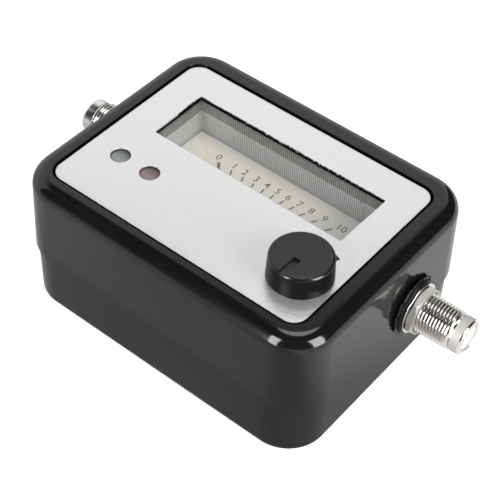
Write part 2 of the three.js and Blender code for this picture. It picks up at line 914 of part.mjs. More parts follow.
function contactBody(front, tailEnd) {
  const tip = front - boreRecess - pinEntryDepth - clearance;
  return turned([
    [0, tailEnd],
    [contactTailRadius, tailEnd],
    [contactTailRadius, -barrelInside],
    [contactRadius, -barrelInside],
    [contactRadius, tip],
    [contactBoreRadius, tip],
    [contactBoreRadius, tip - contactBoreDepth],
    [0, tip - contactBoreDepth],
  ], smallRoundSteps);
}

function toothedWasherBody(bottom, top) {
  const pitch = 2 * Math.PI / toothCount;
  const at = (radius, angle) => [radius * Math.cos(angle), radius * Math.sin(angle)];
  const points = [];
  for (let tooth = 0; tooth < toothCount; tooth += 1) {
    const start = tooth * pitch;
    const end = start + toothShare * pitch;
    points.push(at(toothRootRadius, start), at(toothedWasherRadius, start));
    points.push(at(toothedWasherRadius, (start + end) / 2));
    points.push(at(toothedWasherRadius, end), at(toothRootRadius, end));
  }
  const shape = polygon(points);
  shape.holes.push(circleHole(threadRadius + stackGap));
  return extruded(shape, bottom, top);
}

function addCase(part) {
  piece(part, 'upper_shell', upperShell(), 0x1c1c1d, 0.3, 0);
  piece(part, 'lower_shell', lowerShell(), 0x1c1c1d, 0.35, 0);
  piece(part, 'face_plate', facePlate(), 0xd9dadb, 0.4, 0.6);
  caseScrewPlaces.forEach((place, number) => {
    const screw = screwBody(
      screwRadius,
      screwHeadRadius,
      screwHeadHeight,
      screwReach,
      screwSeat,
      1,
    );
    piece(part, `case_screw_${number + 1}`, placed(screw, place), 0x8d8f92, 0.35, 1);
  });
}

function addMeter(part) {
  piece(part, 'meter_lens', meterLens(), 0xdfe5e8, 0.1, 0, 0.35);
  piece(part, 'scale_plate', scalePlate(), 0xe6dfcc, 0.6, 0);
  piece(part, 'meter_base', meterBase(), 0xcfd2d4, 0.5, 0);
  const movement = group(part, pivot.x, pivot.y);
  piece(movement, 'magnet_core', coreBody(), 0x6f7275, 0.4, 1);
  const yoke = tube(yokeInnerRadius, yokeOuterRadius, movementSeat, coilBottom + coilHeight);
  piece(movement, 'yoke_ring', yoke, 0x8a8d90, 0.4, 1);
  piece(movement, 'pivot_bridge', bridgeBody(), 0xb9babc, 0.4, 1);
  piece(movement, 'bearing_screw', bearingBody(), 0xb9954a, 0.35, 1);
  const swing = group(movement);
  swing.rotation.z = radians(restAngle);
  piece(swing, 'moving_coil', coilBody(), 0xa65a2e, 0.45, 0.8);
  piece(swing, 'needle', needleBody(), 0x3a3a3a, 0.5, 0).position.z = needleHeight;
  terminalPlaces.forEach((place, number) => {
    piece(part, `meter_terminal_${number + 1}`, placed(terminalBody(), place), 0xc9a24d, 0.35, 1);
  });
}

function addLamps(part) {
  const names = ['left', 'right'];
  const colors = [0xb9c4bd, 0xd9a0a4];
  lampPlaces.forEach((place, number) => {
    piece(part, `led_${names[number]}`, placed(lampBody(), place), colors[number], 0.1, 0, 0.6);
    leadPlaces[number].forEach((lead, side) => {
      const name = `led_${names[number]}_lead_${side + 1}`;
      piece(part, name, placed(leadBody(), lead), 0xb5b7b9, 0.3, 1);
    });
  });
}

function addControl(part) {
  const control = group(part, knobPlace.x, knobPlace.y);
  piece(control, 'pot_body', potBody(), 0x9a9c9e, 0.4, 1);
  const washerBottom = plateTop + clearance;
  const washerTop = washerBottom + potWasherThickness;
  const nutBottom = washerTop + stackGap;
  const bushHole = bushRadius + stackGap;
  const washer = tube(bushHole, potWasherRadius, washerBottom, washerTop);
  piece(control, 'pot_washer', washer, 0xb5b7b9, 0.3, 1);
  const nut = nutBody(potNutFlats, bushHole, nutBottom, nutBottom + potNutHeight);
  piece(control, 'pot_nut', nut, 0xb5b7b9, 0.3, 1);
  const turning = group(control, 0, 0, plateTop);
  piece(turning, 'pot_shaft', shaftBody(), 0xc4c4c2, 0.35, 1);
  piece(turning, 'knob', knobBody(), 0x202021, 0.4, 0);
}

function addBoard(part) {
  piece(part, 'circuit_board', boardBody(), 0x2f6b45, 0.5, 0);
  boardScrewPlaces.forEach((place, number) => {
    const screw = screwBody(
      boardScrewRadius,
      boardScrewHeadRadius,
      boardScrewHeadHeight,
      boardScrewReach,
      boardScrewSeat,
      -1,
    );
    piece(part, `board_screw_${number + 1}`, placed(screw, place), 0x8d8f92, 0.35, 1);
  });
}

// One socket with its washers and nut; side is 1 for the right end and -1 for the left
function addSocket(part, name, side, setBack) {
  const flangeFace = lowerCavityPlan.halfX - clearance;
  const front = flaredPlan.halfX + socketReach - flangeFace;
  const socket = group(part, side * (flangeFace - setBack), socketY, socketHeight);
  socket.rotation.y = side * Math.PI / 2;
  const tailEnd = boardPlan.halfX - contactOverBoard - flangeFace + setBack;
  piece(socket, `${name}_socket_barrel`, barrelBody(front), 0xc8c9cb, 0.2, 1);
  piece(socket, `${name}_insulator`, insulatorBody(front), 0xe9e7e2, 0.5, 0);
  piece(socket, `${name}_centre_contact`, contactBody(front, tailEnd), 0xc9a24d, 0.3, 1);
  const toothedBottom = flaredPlan.halfX + socketWasherSeat - flangeFace + setBack;
  const toothedTop = toothedBottom + toothedWasherThickness;
  const flatBottom = toothedTop + stackGap;
  const flatTop = flatBottom + flatWasherThickness;
  const nutBottom = flatTop + stackGap;
  const threadHole = threadRadius + stackGap;
  const toothed = toothedWasherBody(toothedBottom, toothedTop);
  piece(socket, `${name}_toothed_washer`, toothed, 0x1b1b1c, 0.4, 0.3);
  const flat = tube(threadHole, flatWasherRadius, flatBottom, flatTop);
  piece(socket, `${name}_flat_washer`, flat, 0xd2d3d4, 0.2, 1);
  const nut = nutBody(socketNutFlats, threadHole, nutBottom, nutBottom + socketNutHeight);
  piece(socket, `${name}_hex_nut`, nut.rotateZ(radians(socketNutTurn)), 0xc8c9cb, 0.2, 1);
}

function signalMeter() {
  const part = new THREE.Group();
  addCase(part);
  addMeter(part);
  addLamps(part);
  addControl(part);
  addBoard(part);
  addSocket(part, 'right', 1, 0);
  addSocket(part, 'left', -1, leftSetBack);
  return part;
}

export default signalMeter();
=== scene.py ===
import math
from dataclasses import dataclass

import bmesh
import bpy
from mathutils import Matrix, Vector


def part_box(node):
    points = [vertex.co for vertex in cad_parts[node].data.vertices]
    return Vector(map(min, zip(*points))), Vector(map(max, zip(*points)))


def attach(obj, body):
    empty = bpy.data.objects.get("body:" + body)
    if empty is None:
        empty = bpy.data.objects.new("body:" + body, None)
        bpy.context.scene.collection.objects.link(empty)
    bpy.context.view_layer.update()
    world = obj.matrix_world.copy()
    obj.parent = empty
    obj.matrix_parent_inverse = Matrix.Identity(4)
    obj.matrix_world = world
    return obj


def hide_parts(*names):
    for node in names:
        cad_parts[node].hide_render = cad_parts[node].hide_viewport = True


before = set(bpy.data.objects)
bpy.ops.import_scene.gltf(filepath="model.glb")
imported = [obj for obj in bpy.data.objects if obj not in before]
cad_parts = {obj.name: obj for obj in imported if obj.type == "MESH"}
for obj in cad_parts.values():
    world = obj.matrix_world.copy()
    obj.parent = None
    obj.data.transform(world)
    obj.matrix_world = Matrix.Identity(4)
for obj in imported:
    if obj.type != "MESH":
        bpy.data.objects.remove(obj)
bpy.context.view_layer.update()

MM = 0.001
TAU = 2 * math.pi

# Fineness of the meshes
CORNER_STEPS = 18  # per quarter of a case corner
EDGE_STEPS = 12  # per rounded edge
TRIM_STEPS = 3  # per rounded edge or corner of a small part
ROUND_STEPS = 72
SMALL_STEPS = 48  # round screws and plugs
RIB_STEPS = 10
WINDOW_CORNER_STEPS = 4
TICK_CORNER_STEPS = 2
DIGIT_STEPS = 6
DOME_STEPS = 14  # of a lamp
CORE_STEPS = 10
KNOB_EDGE_STEPS = 9
NOSE_STEPS = 5
KNOB_STEPS = 128
MERGE_GAP = 0.0002 * MM
OVERRUN = 1 * MM  # how far a cutting body runs past what it cuts
SHARP_ANGLE = 32  # edges that turn by more degrees stay sharp
LABEL_SHARP_ANGLE = 12
RIB_SHARP_ANGLE = 60
BEVEL_ANGLE = 40  # edges that turn by more degrees are rounded
FACING_UP = 0.9  # least upward part of the normal of a face that counts as a top
KNOB_SIDE_LEAN = 0.1  # most of it for the side of the knob
NOSE_SIDE_LEAN = 0.3  # and for the side of a socket's nose

# Case
CASE_CORNER = 9.78 * MM
TOP_EDGE = 3.5 * MM
BOTTOM_EDGE = 1.45 * MM
WALL_FLARE = 0.45 * MM  # the upper walls lean out by this much at the joint
JOINT_EDGE = 0.25 * MM
JOINT_GAP = 0.3 * MM
TONGUE_INSET = 1.5 * MM
TONGUE_WALL = 0.8 * MM
WALL = 2 * MM
LOWER_DRAFT = 0.1 * MM
PLATE_GAP = 0.3 * MM  # round and under the face plate
TOP_WALL = 2.84 * MM
RIM_CHAMFER = 0.14 * MM
SCREW_HOLE = 3.1 * MM
SCREW_HOLE_DEPTH = 3.5 * MM
SOCKET_HOLE = 5 * MM

# Face plate and window
PLATE_CORNER = 3.6 * MM
PLATE_EDGE = 0.05 * MM
EDGE_LINE = 0.12 * MM  # width of the dark line along its cut edge, partly painted shade of the gap round it
EDGE_RAGGED = 0.16 * MM
WINDOW_LINE = 0.14 * MM  # width of the dark line along the back of the window, partly painted shade
WINDOW_RAGGED = 0.8 * MM
WINDOW_SHADE = 0.2 * MM  # width of the strip of painted shade under that line
SEAT_SHADE_WIDTH = 0.63 * MM  # how far from the plate the rim round it is painted as shade
SEAT_SHADE_SHIFT = 0.2 * MM  # more at the front and right, less at the back and left
SEAT_SHADE_RAGGED = 0.34 * MM
WINDOW_MARGIN_X = 0.2 * MM  # from the walls of the well
WINDOW_MARGIN_Y = 0.6 * MM
WINDOW_CORNER = 0.3 * MM
WELL_GAP = 0.15 * MM  # round the scale plate
LAMP_HOLE = 2.35 * MM
BUSH_HOLE = 3.8 * MM
LENS_WALL = 1 * MM
LENS_FLANGE = 1.5 * MM
LENS_CORNER = 1.2 * MM
RIB_PITCH = 0.55 * MM
RIB_RADIUS = 0.2 * MM
RIB_FIRST = 9.6 * MM  # from the left wall of the well
RIB_LAST = 5.2 * MM  # from its right wall
RIB_RISE = 1.2 * MM  # over the scale plate
NEEDLE_SLOT_HALF = 9 * MM
NEEDLE_SLOT_TOP = 29.5 * MM
NEEDLE_SLOT_DEPTH = 2.5 * MM  # to either side of the near wall of the well
RIB_FADE = 0.05 * MM  # half the height over which the painted shading of the ribs ends at their foot
DARK_BAND_LOW = 31.25 * MM  # height from which the black case shows through the well
DARK_BAND_FADE = 0.08 * MM
DARK_BAND_RAGGED = 0.3 * MM
WELL_RAGGED = 0.4 * MM
WELL_BACK = (0.1 * MM, 0.2 * MM)  # depth in the cover's walls from which they are painted as shade

# Scale
PIVOT = Vector((0.2, -12, 0)) * MM
NEEDLE_TURN = math.radians(0.85)  # the pointer's lean up the scale from the node's place
NEEDLE_REACH = 0.98  # its length as a share of the node's
SCALE_STEP = math.radians(7.28)  # from one tick to the next
SCALE_MARKS = 11
TICK_LOW = 9.2 * MM  # Y where all ticks begin
TICK_HIGH = 10.7 * MM
TICK_WIDTH = 0.36 * MM
TICK_CORNER = 0.05 * MM
DIGIT_LINE = 12.25 * MM  # middle of the numbers
DIGIT_SIZE = 2.75 * MM
DIGIT_SHIFTS = {0: 0.2 * MM, 1: 0.6 * MM, 10: 0.35 * MM}  # numbers printed off their tick
DIGIT_SWELL = 0.006 * MM  # added all round the strokes of the font
INK = 0.02 * MM  # thickness of the print
PAINTED_LIGHT_SPAN = (4 * MM, 20 * MM)  # from where to where along X painted light makes the cream paler

# Knob
KNOB_EDGE = 0.75 * MM
KNOB_TOP_RADIUS = 7.1 * MM
KNOB_WALL = 1 * MM
KNOB_SKIRT_EDGE = 0.1 * MM
SHAFT_GAP = 0.1 * MM
KNOB_CROWN = 2.5 * MM  # thickness of its top
KNOB_DROP = 0.25 * MM  # how much lower its skirt hangs than that of the plain solid
GROOVE_WIDTH = 1.7 * MM
GROOVE_CORNER = 0.2 * MM
GROOVE_DEPTH = 0.4 * MM  # at the rim
GROOVE_PIT = 0.7 * MM  # at its inner end
GROOVE_PIT_LENGTH = 1.3 * MM
GROOVE_START = 1.4 * MM  # from the axis of the knob
GROOVE_ANGLE = math.radians(-90)
SWEEP_RADIUS = 9.6 * MM  # of the outer edge of the printed wedge round the knob
SWEEP_WIDTH = 1.5 * MM  # at its wide end
SWEEP_NARROW = 0.1  # share of that width left at its narrow end
SWEEP_FROM = math.radians(140)
SWEEP_TO = math.radians(66)
SWEEP_STEPS = 40

# Lamps
LAMP_RADIUS = 2.5 * MM
LAMP_FLANGE = 1 * MM
LAMP_DOME = 0.8 * MM
LAMP_FULLNESS = 0.6  # 1 is a round dome, less is a boxier one
LAMP_CORE_RADIUS = 1.75 * MM
LAMP_CORE_DROP = 0.75 * MM
LAMP_CORE_FOOT = 0.6  # width of its foot as a share of its greatest width
LAMP_CORE_TAPER = 1.2  # how far below its top it is widest, as a share of its radius

# Sockets, measured along their axis from the inner end of the barrel
THREAD_CREST = 4.7 * MM
THREAD_DEPTH = 0.43 * MM
THREAD_PITCH = 0.794 * MM
THREAD_TURNS = 18
THREAD_SLOPE = 1.5  # steepness of its flanks
THREAD_ROOT = 0.2  # the more, the wider the flat between its turns
THREAD_RUN_IN = 0.8  # turns over which it rises at its inner end
THREAD_RUN_OUT = 1.3  # turns over which it sinks at its outer end
THREAD_STEPS = 64
THREAD_ROWS = 9
NOSE_LENGTH = 2.8 * MM
NOSE_RADIUS = 4.35 * MM
NOSE_CHAMFER = 0.85 * MM
NOSE_MARGIN = 0.1 * MM  # from the thread to the worn part of the nose
BORE = 3.2 * MM
BARREL_TAIL = 4.5 * MM
BARREL_FLANGE = 6.2 * MM
FLANGE_FACE = 6.9 * MM
FLANGE_THICKNESS = 1.5 * MM
BARREL_EDGE = 0.12 * MM
PLUG_RECESS = 0.5 * MM
PLUG_GAP = 0.05 * MM
PLUG_EDGE = 0.1 * MM
PIN_ENTRY = 0.6 * MM
PIN_ENTRY_DEPTH = 1 * MM
PIN_FUNNEL = 0.25 * MM
WASHER_HOLE = 4.85 * MM
WASHER_EDGE = 0.12 * MM
NUT_HOLE = 4.65 * MM
NUT_FLATS = 11 * MM
NUT_EDGE = 0.04 * MM
NUT_CHAMFER = 0.5 * MM
NUT_TURN = math.radians(40)
TOOTH_COUNT = 12
TOOTH_ROOT = 6.6 * MM
TOOTH_WIDTH = 3.3 * MM
TOOTH_TWIST = math.radians(4)
TOOTH_THICKNESS = 0.4 * MM
TOOTH_CORNER = 0.15 * MM
TOOTH_EDGE = 0.06 * MM
TOOTH_RING_EDGE = 0.08 * MM
STACK_SHIFT = 0.6 * MM  # how much further out than their nodes the flat washer and the nut lie

# Screws in the underside
SCREW_HEAD = 2.8 * MM
SCREW_HEAD_EDGE = 0.8 * MM
SCREW_HEAD_HEIGHT = 1.7 * MM
SCREW_SHANK = 1.4 * MM
CROSS_WIDTH = 0.75 * MM
CROSS_LENGTH = 3.2 * MM
CROSS_DEPTH = 0.9 * MM


@dataclass
class Plan:
    """A rounded rectangle seen from above: its middle, half sizes and corner radius."""

    x: float
    y: float
    half_x: float
    half_y: float
    radius: float

    def shifted(self, x, y):
        return Plan(self.x + x, self.y + y, self.half_x, self.half_y, self.radius)

    def resized(self, more_x, more_y, radius):
        return Plan(self.x, self.y, self.half_x + more_x, self.half_y + more_y, radius)

    def grown(self, amount):
        return self.resized(amount, amount, max(self.radius + amount, 0))

    def points(self, steps):
        made = []
        reach_x = self.half_x - self.radius
        reach_y = self.half_y - self.radius
        for quarter, (side_x, side_y) in enumerate(((1, 1), (-1, 1), (-1, -1), (1, -1))):
            for step in range(steps + 1):
                angle = (quarter + step / steps) * TAU / 4
                x = self.x + side_x * reach_x + self.radius * math.cos(angle)
                y = self.y + side_y * reach_y + self.radius * math.sin(angle)
                made.append((x, y))
        return made


def plan_of(node, radius):
    middle = middle_of(node)
    half = half_of(node)
    return Plan(middle.x, middle.y, half.x, half.y, radius)


def middle_of(node):
    low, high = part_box(node)
    return (low + high) / 2


def half_of(node):
    low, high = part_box(node)
    return (high - low) / 2


# Places taken from the frame

upper_low, upper_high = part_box("upper_shell")
lower_low, lower_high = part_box("lower_shell")
plate_low, plate_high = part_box("face_plate")
lens_low, lens_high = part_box("meter_lens")
scale_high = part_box("scale_plate")[1]
case_top = upper_high.z
joint = upper_low.z
flared_plan = plan_of("upper_shell", CASE_CORNER + WALL_FLARE)
upper_plan = flared_plan.grown(-WALL_FLARE)
lower_plan = plan_of("lower_shell", CASE_CORNER)
tongue_plan = flared_plan.grown(-TONGUE_INSET)
cavity_plan = flared_plan.grown(-TONGUE_INSET - TONGUE_WALL)
plate_plan = plan_of("face_plate", PLATE_CORNER)
seat_shade_plan = plate_plan.shifted(SEAT_SHADE_SHIFT, -SEAT_SHADE_SHIFT)
well_plan = plan_of("scale_plate", 0).grown(WELL_GAP)
lens_plan = well_plan.resized(LENS_WALL, LENS_WALL, LENS_CORNER)
window_plan = well_plan.resized(-WINDOW_MARGIN_X, -WINDOW_MARGIN_Y, WINDOW_CORNER)
window_left = window_plan.x - window_plan.half_x
window_far = window_plan.y + window_plan.half_y
recess_floor = plate_low.z - PLATE_GAP
ceiling = recess_floor - TOP_WALL
well_left = well_plan.x - well_plan.half_x
well_near = well_plan.y - well_plan.half_y
well_far = well_plan.y + well_plan.half_y
rib_low = scale_high.z + RIB_RISE
rib_left = well_left + RIB_FIRST
rib_right = well_plan.x + well_plan.half_x - RIB_LAST


# Node trees written as sums


def summed(operation, swapped=False):
    """A method that adds one kind of Math node."""
    def act(self, other):
        return self.graph.math(operation, *((other, self) if swapped else (self, other)))
    return act


class Value:
    """A number that a node tree works out. A sum on it adds the Math nodes."""

    __add__ = summed("ADD")
    __radd__ = summed("ADD", True)
    __sub__ = summed("SUBTRACT")
    __rsub__ = summed("SUBTRACT", True)
    __mul__ = summed("MULTIPLY")
    __rmul__ = summed("MULTIPLY", True)
    __rtruediv__ = summed("DIVIDE", True)
    __lt__ = summed("LESS_THAN")
    __gt__ = summed("GREATER_THAN")

    def __init__(self, graph, socket):
        self.graph = graph
        self.socket = socket

    def __abs__(self):
        return self.graph.math("ABSOLUTE", self)

    def clamped(self, low=0.0, high=1.0):
        return self.graph.math("MINIMUM", self.graph.math("MAXIMUM", self, low), high)

    def cosine(self):
        return self.graph.math("COSINE", self)

    def sine(self):
        return self.graph.math("SINE", self)

    def stepped(self, low, high):
        """0 below low, 1 above high and a smooth step between."""
        inputs = {"Value": self, "From Min": low, "From Max": high}
        node = self.graph.node("ShaderNodeMapRange", inputs, interpolation_type="SMOOTHSTEP")
        return Value(self.graph, node.outputs["Result"])


class Graph:
    """A node tree that is filled by calls."""

    def __init__(self, tree):
        self.tree = tree

    def node(self, kind, inputs=None, **settings):
        made = self.tree.nodes.new(kind)
        for name, value in settings.items():
            setattr(made, name, value)
        for name, value in (inputs or {}).items():
            self.feed(made.inputs[name], value)
        return made

    def feed(self, socket, value):
        if isinstance(value, Value):
            value = value.socket
        if isinstance(value, bpy.types.NodeSocket):
            self.tree.links.new(value, socket)
        else:
            socket.default_value = value

    def math(self, operation, *terms):
        made = self.node("ShaderNodeMath", dict(enumerate(terms)), operation=operation)
        return Value(self, made.outputs[0])

    def parts(self, vector):
        made = self.node("ShaderNodeSeparateXYZ", {0: vector})
        return [Value(self, output) for output in made.outputs]

    def vector(self, x, y, z):
        return self.node("ShaderNodeCombineXYZ", {"X": x, "Y": y, "Z": z}).outputs[0]

    def mixed(self, factor, first, second):
        inputs = {0: factor, 6: rgba(first), 7: rgba(second)}
        return self.node("ShaderNodeMix", inputs, data_type="RGBA", blend_type="MIX").outputs[2]


def rgba(colour):
    """Adds full opacity to a plain colour; one that a node gives stays as it is."""
    return (*colour, 1.0) if isinstance(colour, tuple) else colour


FINISHES = {}


class Finish(Graph):
    """A material that is built up from patterns in the piece's own coordinates."""

    def __init__(self, name):
        self.name = name
        self.material = bpy.data.materials.new(name)
        self.material.use_nodes = True
        super().__init__(self.material.node_tree)
        self.tree.nodes.clear()
        self.place = self.node("ShaderNodeTexCoord").outputs["Object"]

    def noise(self, size, detail=2.0, stretch=None):
        """Cloudy grain whose blobs are about this size."""
        place = self.place
        if stretch:
            place = self.node("ShaderNodeMapping", {"Vector": place, "Scale": stretch}).outputs[0]
        inputs = {"Vector": place, "Scale": 1 / size, "Detail": detail}
        return Value(self, self.node("ShaderNodeTexNoise", inputs).outputs[0])

    def specks(self, spacing, radius, share):
        """Round dots on a share of the cells of this spacing."""
        made = self.node("ShaderNodeTexVoronoi", {"Vector": self.place, "Scale": 1 / spacing})
        distance = Value(self, made.outputs["Distance"])
        chance = self.parts(made.outputs["Color"])[0]
        return (distance < radius / spacing) * (chance < share)

    def scratches(self, length, width, amount):
        """Thin short lines that run mostly along X."""
        lines = self.noise(width, 1.0, (width / length, 1.0, 1.0))
        return lines.stepped(1 - amount, 1.0)

    def outside(self, plan):
        """Distance outside a rounded rectangle, below 0 inside it."""
        x, y, _ = self.parts(self.place)
        over_x = self.math("MAXIMUM", abs(x - plan.x) - (plan.half_x - plan.radius), 0.0)
        over_y = self.math("MAXIMUM", abs(y - plan.y) - (plan.half_y - plan.radius), 0.0)
        inner_x = abs(x - plan.x) - plan.half_x
        inner_y = abs(y - plan.y) - plan.half_y
        corner = self.math("SQRT", over_x * over_x + over_y * over_y) - plan.radius
        return self.math("MAXIMUM", self.math("MAXIMUM", inner_x, inner_y), corner)

    def bump(self, height, depth, strength):
        inputs = {"Height": height, "Distance": depth, "Strength": strength}
        return self.node("ShaderNodeBump", inputs).outputs[0]

    def shader(self, colour, roughness, metallic=0.0, normal=None, gloss=0.5):
        inputs = {
            "Base Color": rgba(colour),
            "Roughness": roughness,
            "Metallic": metallic,
            "Specular IOR Level": gloss,
        }
        if normal is not None:
            inputs["Normal"] = normal
        return self.node("ShaderNodeBsdfPrincipled", inputs).outputs[0]

    def unlit(self):
        """Painted shade: a dead black that mirrors nothing."""
        return self.shader((0.002, 0.002, 0.002), 0.9, gloss=0.0)

    def clear(self, tint):
        return self.node("ShaderNodeBsdfTransparent", {"Color": rgba(tint)}).outputs[0]

    def blended(self, factor, first, second):
        return self.node("ShaderNodeMixShader", {0: factor, 1: first, 2: second}).outputs[0]

    def mirrored_share(self):
        """How much a clear skin mirrors, the same from both sides."""
        weight = self.node("ShaderNodeLayerWeight", {"Blend": 0.5})
        return 0.04 + 0.96 * self.math("POWER", Value(self, weight.outputs["Facing"]), 5.0)

    def done(self, shader):
        self.node("ShaderNodeOutputMaterial", {"Surface": shader})
        FINISHES[self.name] = self.material


# Finishes


def case_plastic():
    """Glossy black with dust; an uneven line of painted shade runs round the seat of the face plate."""
    finish = Finish("case_plastic")
    cloud = finish.noise(14 * MM, 3.0)
    grain = finish.noise(0.14 * MM)
    ragged = finish.noise(0.9 * MM, 3.0)
    dust = finish.specks(3.5 * MM, 0.055 * MM, 0.3)
    colour = finish.mixed(cloud, (0.0036, 0.0035, 0.0038), (0.0056, 0.0054, 0.0053))
    colour = finish.mixed(dust, colour, (0.16, 0.16, 0.16))
    roughness = 0.06 + cloud * 0.06 + grain * 0.04 + dust * 0.4
    normal = finish.bump(cloud, 0.02 * MM, 0.5)
    gloss = finish.shader(colour, roughness, 0.0, normal)
    # painted shade of the gap round the face plate, as a dead black band on the rim
    border = finish.outside(seat_shade_plan) + (ragged - 0.5) * SEAT_SHADE_RAGGED
    height = finish.parts(finish.place)[2]
    seat = (1 - border.stepped(SEAT_SHADE_WIDTH * 0.8, SEAT_SHADE_WIDTH)) * (height > recess_floor - OVERRUN / 2)
    finish.done(finish.blended(seat, gloss, finish.unlit()))


def face_silver():
    """Satin silver; along its outline and the back of the window runs an uneven black line, partly its
    dark cut edge and partly painted shade; the walls of the lamp and knob holes are a dull grey as
    painted shade.
    """
    finish = Finish("face_silver")
    grain = finish.noise(0.2 * MM)
    cloud = finish.noise(11 * MM, 3.0)
    ragged = finish.noise(0.8 * MM, 3.0)
    border = finish.outside(plate_plan) + (ragged - 0.5) * EDGE_RAGGED
    x, y, height = finish.parts(finish.place)
    back = finish.math("MAXIMUM", y > well_plan.y, x < well_left)
    window_edge = finish.outside(window_plan) + (ragged - 0.5) * WINDOW_RAGGED
    line = back * (1 - window_edge.stepped(WINDOW_LINE * 0.7, WINDOW_LINE))
    # the dark cut edge and painted shade along the outline and the back of the window
    cut = finish.math("MAXIMUM", border.stepped(-EDGE_LINE, -EDGE_LINE * 0.7), line)
    colour = finish.mixed(grain.stepped(0.3, 0.7), (0.79, 0.785, 0.79), (0.89, 0.89, 0.885))
    colour = finish.mixed(cloud * 0.3, colour, (0.80, 0.79, 0.80))
    colour = finish.mixed(cut, colour, (0.003, 0.003, 0.003))
    roughness = 0.21 + grain * 0.08 + cut * 0.4
    normal = finish.bump(grain, 0.014 * MM, 0.5)
    satin = finish.shader(colour, roughness, 0.8 * (1 - cut), normal)
    # painted shade: the walls of the lamp and knob holes in a dull grey
    hole_wall_shade = finish.shader((0.17, 0.17, 0.17), 0.6)
    wall = (height < plate_high.z - PLATE_EDGE * 1.2) * (y < well_near)
    finish.done(finish.blended(wall * (1 - cut), satin, hole_wall_shade))


def clear_plastic():
    """The clear cover, with uneven strips of painted shade under the far and left edges of the window.
    """
    finish = Finish("clear_plastic")
    haze = finish.noise(6 * MM, 3.0)
    ragged = finish.noise(0.8 * MM, 3.0)
    scratches = finish.scratches(4 * MM, 0.08 * MM, 0.32)
    gloss = finish.shader((0.9, 0.92, 0.93), 0.06 + haze * 0.06 + scratches * 0.1)
    faint = finish.mirrored_share() * 0.8 + haze * 0.02
    cover = finish.blended(faint, finish.clear((0.97, 0.98, 0.98)), gloss)
    x, y, height = finish.parts(finish.place)
    # painted shade under the far and left edges of the window
    edge = finish.math("MAXIMUM", y - window_far, window_left - x) + (ragged - 0.5) * WINDOW_RAGGED
    strip = edge.stepped(-WINDOW_SHADE * 1.2, -WINDOW_SHADE)
    strip = strip * (1 - edge.stepped(WINDOW_SHADE * 3, WINDOW_SHADE * 3.5))
    strip = strip * (height > lens_high.z - LENS_WALL / 2)
    finish.done(finish.blended(strip, cover, finish.unlit()))


def well_plastic():
    """Walls of the well: pale low down, dark where the black case stands right behind them, with painted
    light and shade in stripes along the ribs and painted shade deeper in the walls.
    """
    finish = Finish("well_plastic")
    x, y, height = finish.parts(finish.place)
    uneven = finish.noise(1.3 * MM, 3.0)
    streaks = finish.noise(0.3 * MM, 2.0, (1.0, 1.0, 0.06))
    # painted light on the crests of the ribs and painted shade between them; plain streaks elsewhere
    crests = ((x - rib_left) * (TAU / RIB_PITCH)).cosine() * 0.5 + 0.5
    ribbed = (y > well_far - RIB_RADIUS * 1.5) * (x > rib_left) * (x < rib_right)
    shade = crests * ribbed + streaks * (1 - ribbed)
    wavy = height + (uneven - 0.5) * DARK_BAND_RAGGED
    low = wavy.stepped(DARK_BAND_LOW - DARK_BAND_FADE, DARK_BAND_LOW + DARK_BAND_FADE)
    # painted shade deeper in the cover's walls
    behind = (finish.outside(well_plan) + (uneven - 0.5) * WELL_RAGGED).stepped(*WELL_BACK)
    foot = 1 - height.stepped(rib_low - RIB_FADE, rib_low + RIB_FADE)
    pale = finish.mixed(shade, (0.24, 0.232, 0.23), (0.55, 0.53, 0.52))
    pale = finish.mixed(foot, pale, (0.31, 0.31, 0.33))
    dark = finish.mixed(shade, (0.008, 0.007, 0.006), (0.25, 0.235, 0.205))
    colour = finish.mixed(low, pale, dark)
    colour = finish.mixed(behind, colour, (0.003, 0.003, 0.003))
    roughness = 0.25 + streaks * 0.2
    finish.done(finish.shader(colour, roughness, 0.0, finish.bump(streaks, 0.01 * MM, 0.4)))


def scale_cream():
    finish = Finish("scale_cream")
    fibre = finish.noise(0.25 * MM, 3.0)
    stain = finish.noise(7 * MM, 3.0)
    colour = finish.mixed(stain, (0.845, 0.766, 0.66), (0.88, 0.81, 0.715))
    # painted light: paler towards the right, where the window's right wall shades the scale
    painted_light = finish.parts(finish.place)[0].stepped(*PAINTED_LIGHT_SPAN)
    colour = finish.mixed(painted_light, colour, (0.985, 0.93, 0.83))
    colour = finish.mixed(fibre * 0.35, colour, (0.78, 0.72, 0.62))
    roughness = 0.5 + fibre * 0.15
    finish.done(finish.shader(colour, roughness, 0.0, finish.bump(fibre, 0.01 * MM, 0.3)))


def clouded(name, size, light, dark, roughness, spread, depth, strength, **more):
    """Two shades in clouds of this size, which also vary the roughness and lift the surface."""
    finish = Finish(name)
    cloud = finish.noise(size, more.get("detail", 3.0), more.get("stretch"))
    colour = finish.mixed(cloud, light, dark)
    normal = finish.bump(cloud, depth, strength)
    finish.done(finish.shader(colour, roughness + cloud * spread, more.get("metallic", 0.0), normal))


def ink(name, colour, worn):
    finish = Finish(name)
    grain = finish.noise(0.12 * MM)
    mottled = finish.mixed(grain, colour, worn)
    finish.done(finish.shader(mottled, 0.5 + grain * 0.15, gloss=0.2))


def plated(name, light, dark, roughness, axis_lines, metallic=1.0):
    """Plated metal with turning lines round an axis along X, slight clouding and small pits."""
    finish = Finish(name)
    cloud = finish.noise(2.5 * MM, 3.0)
    lines = finish.noise(0.06 * MM, 2.0, (1.0, 0.05, 0.05) if axis_lines else (1.0, 1.0, 1.0))
    pits = finish.specks(0.9 * MM, 0.05 * MM, 0.25)
    colour = finish.mixed(cloud, light, dark)
    colour = finish.mixed(pits * 0.6, colour, (0.12, 0.11, 0.10))
    rough = roughness + cloud * 0.07 + lines * 0.05
    normal = finish.bump(lines, 0.004 * MM, 0.4)
    finish.done(finish.shader(colour, rough, metallic, normal))


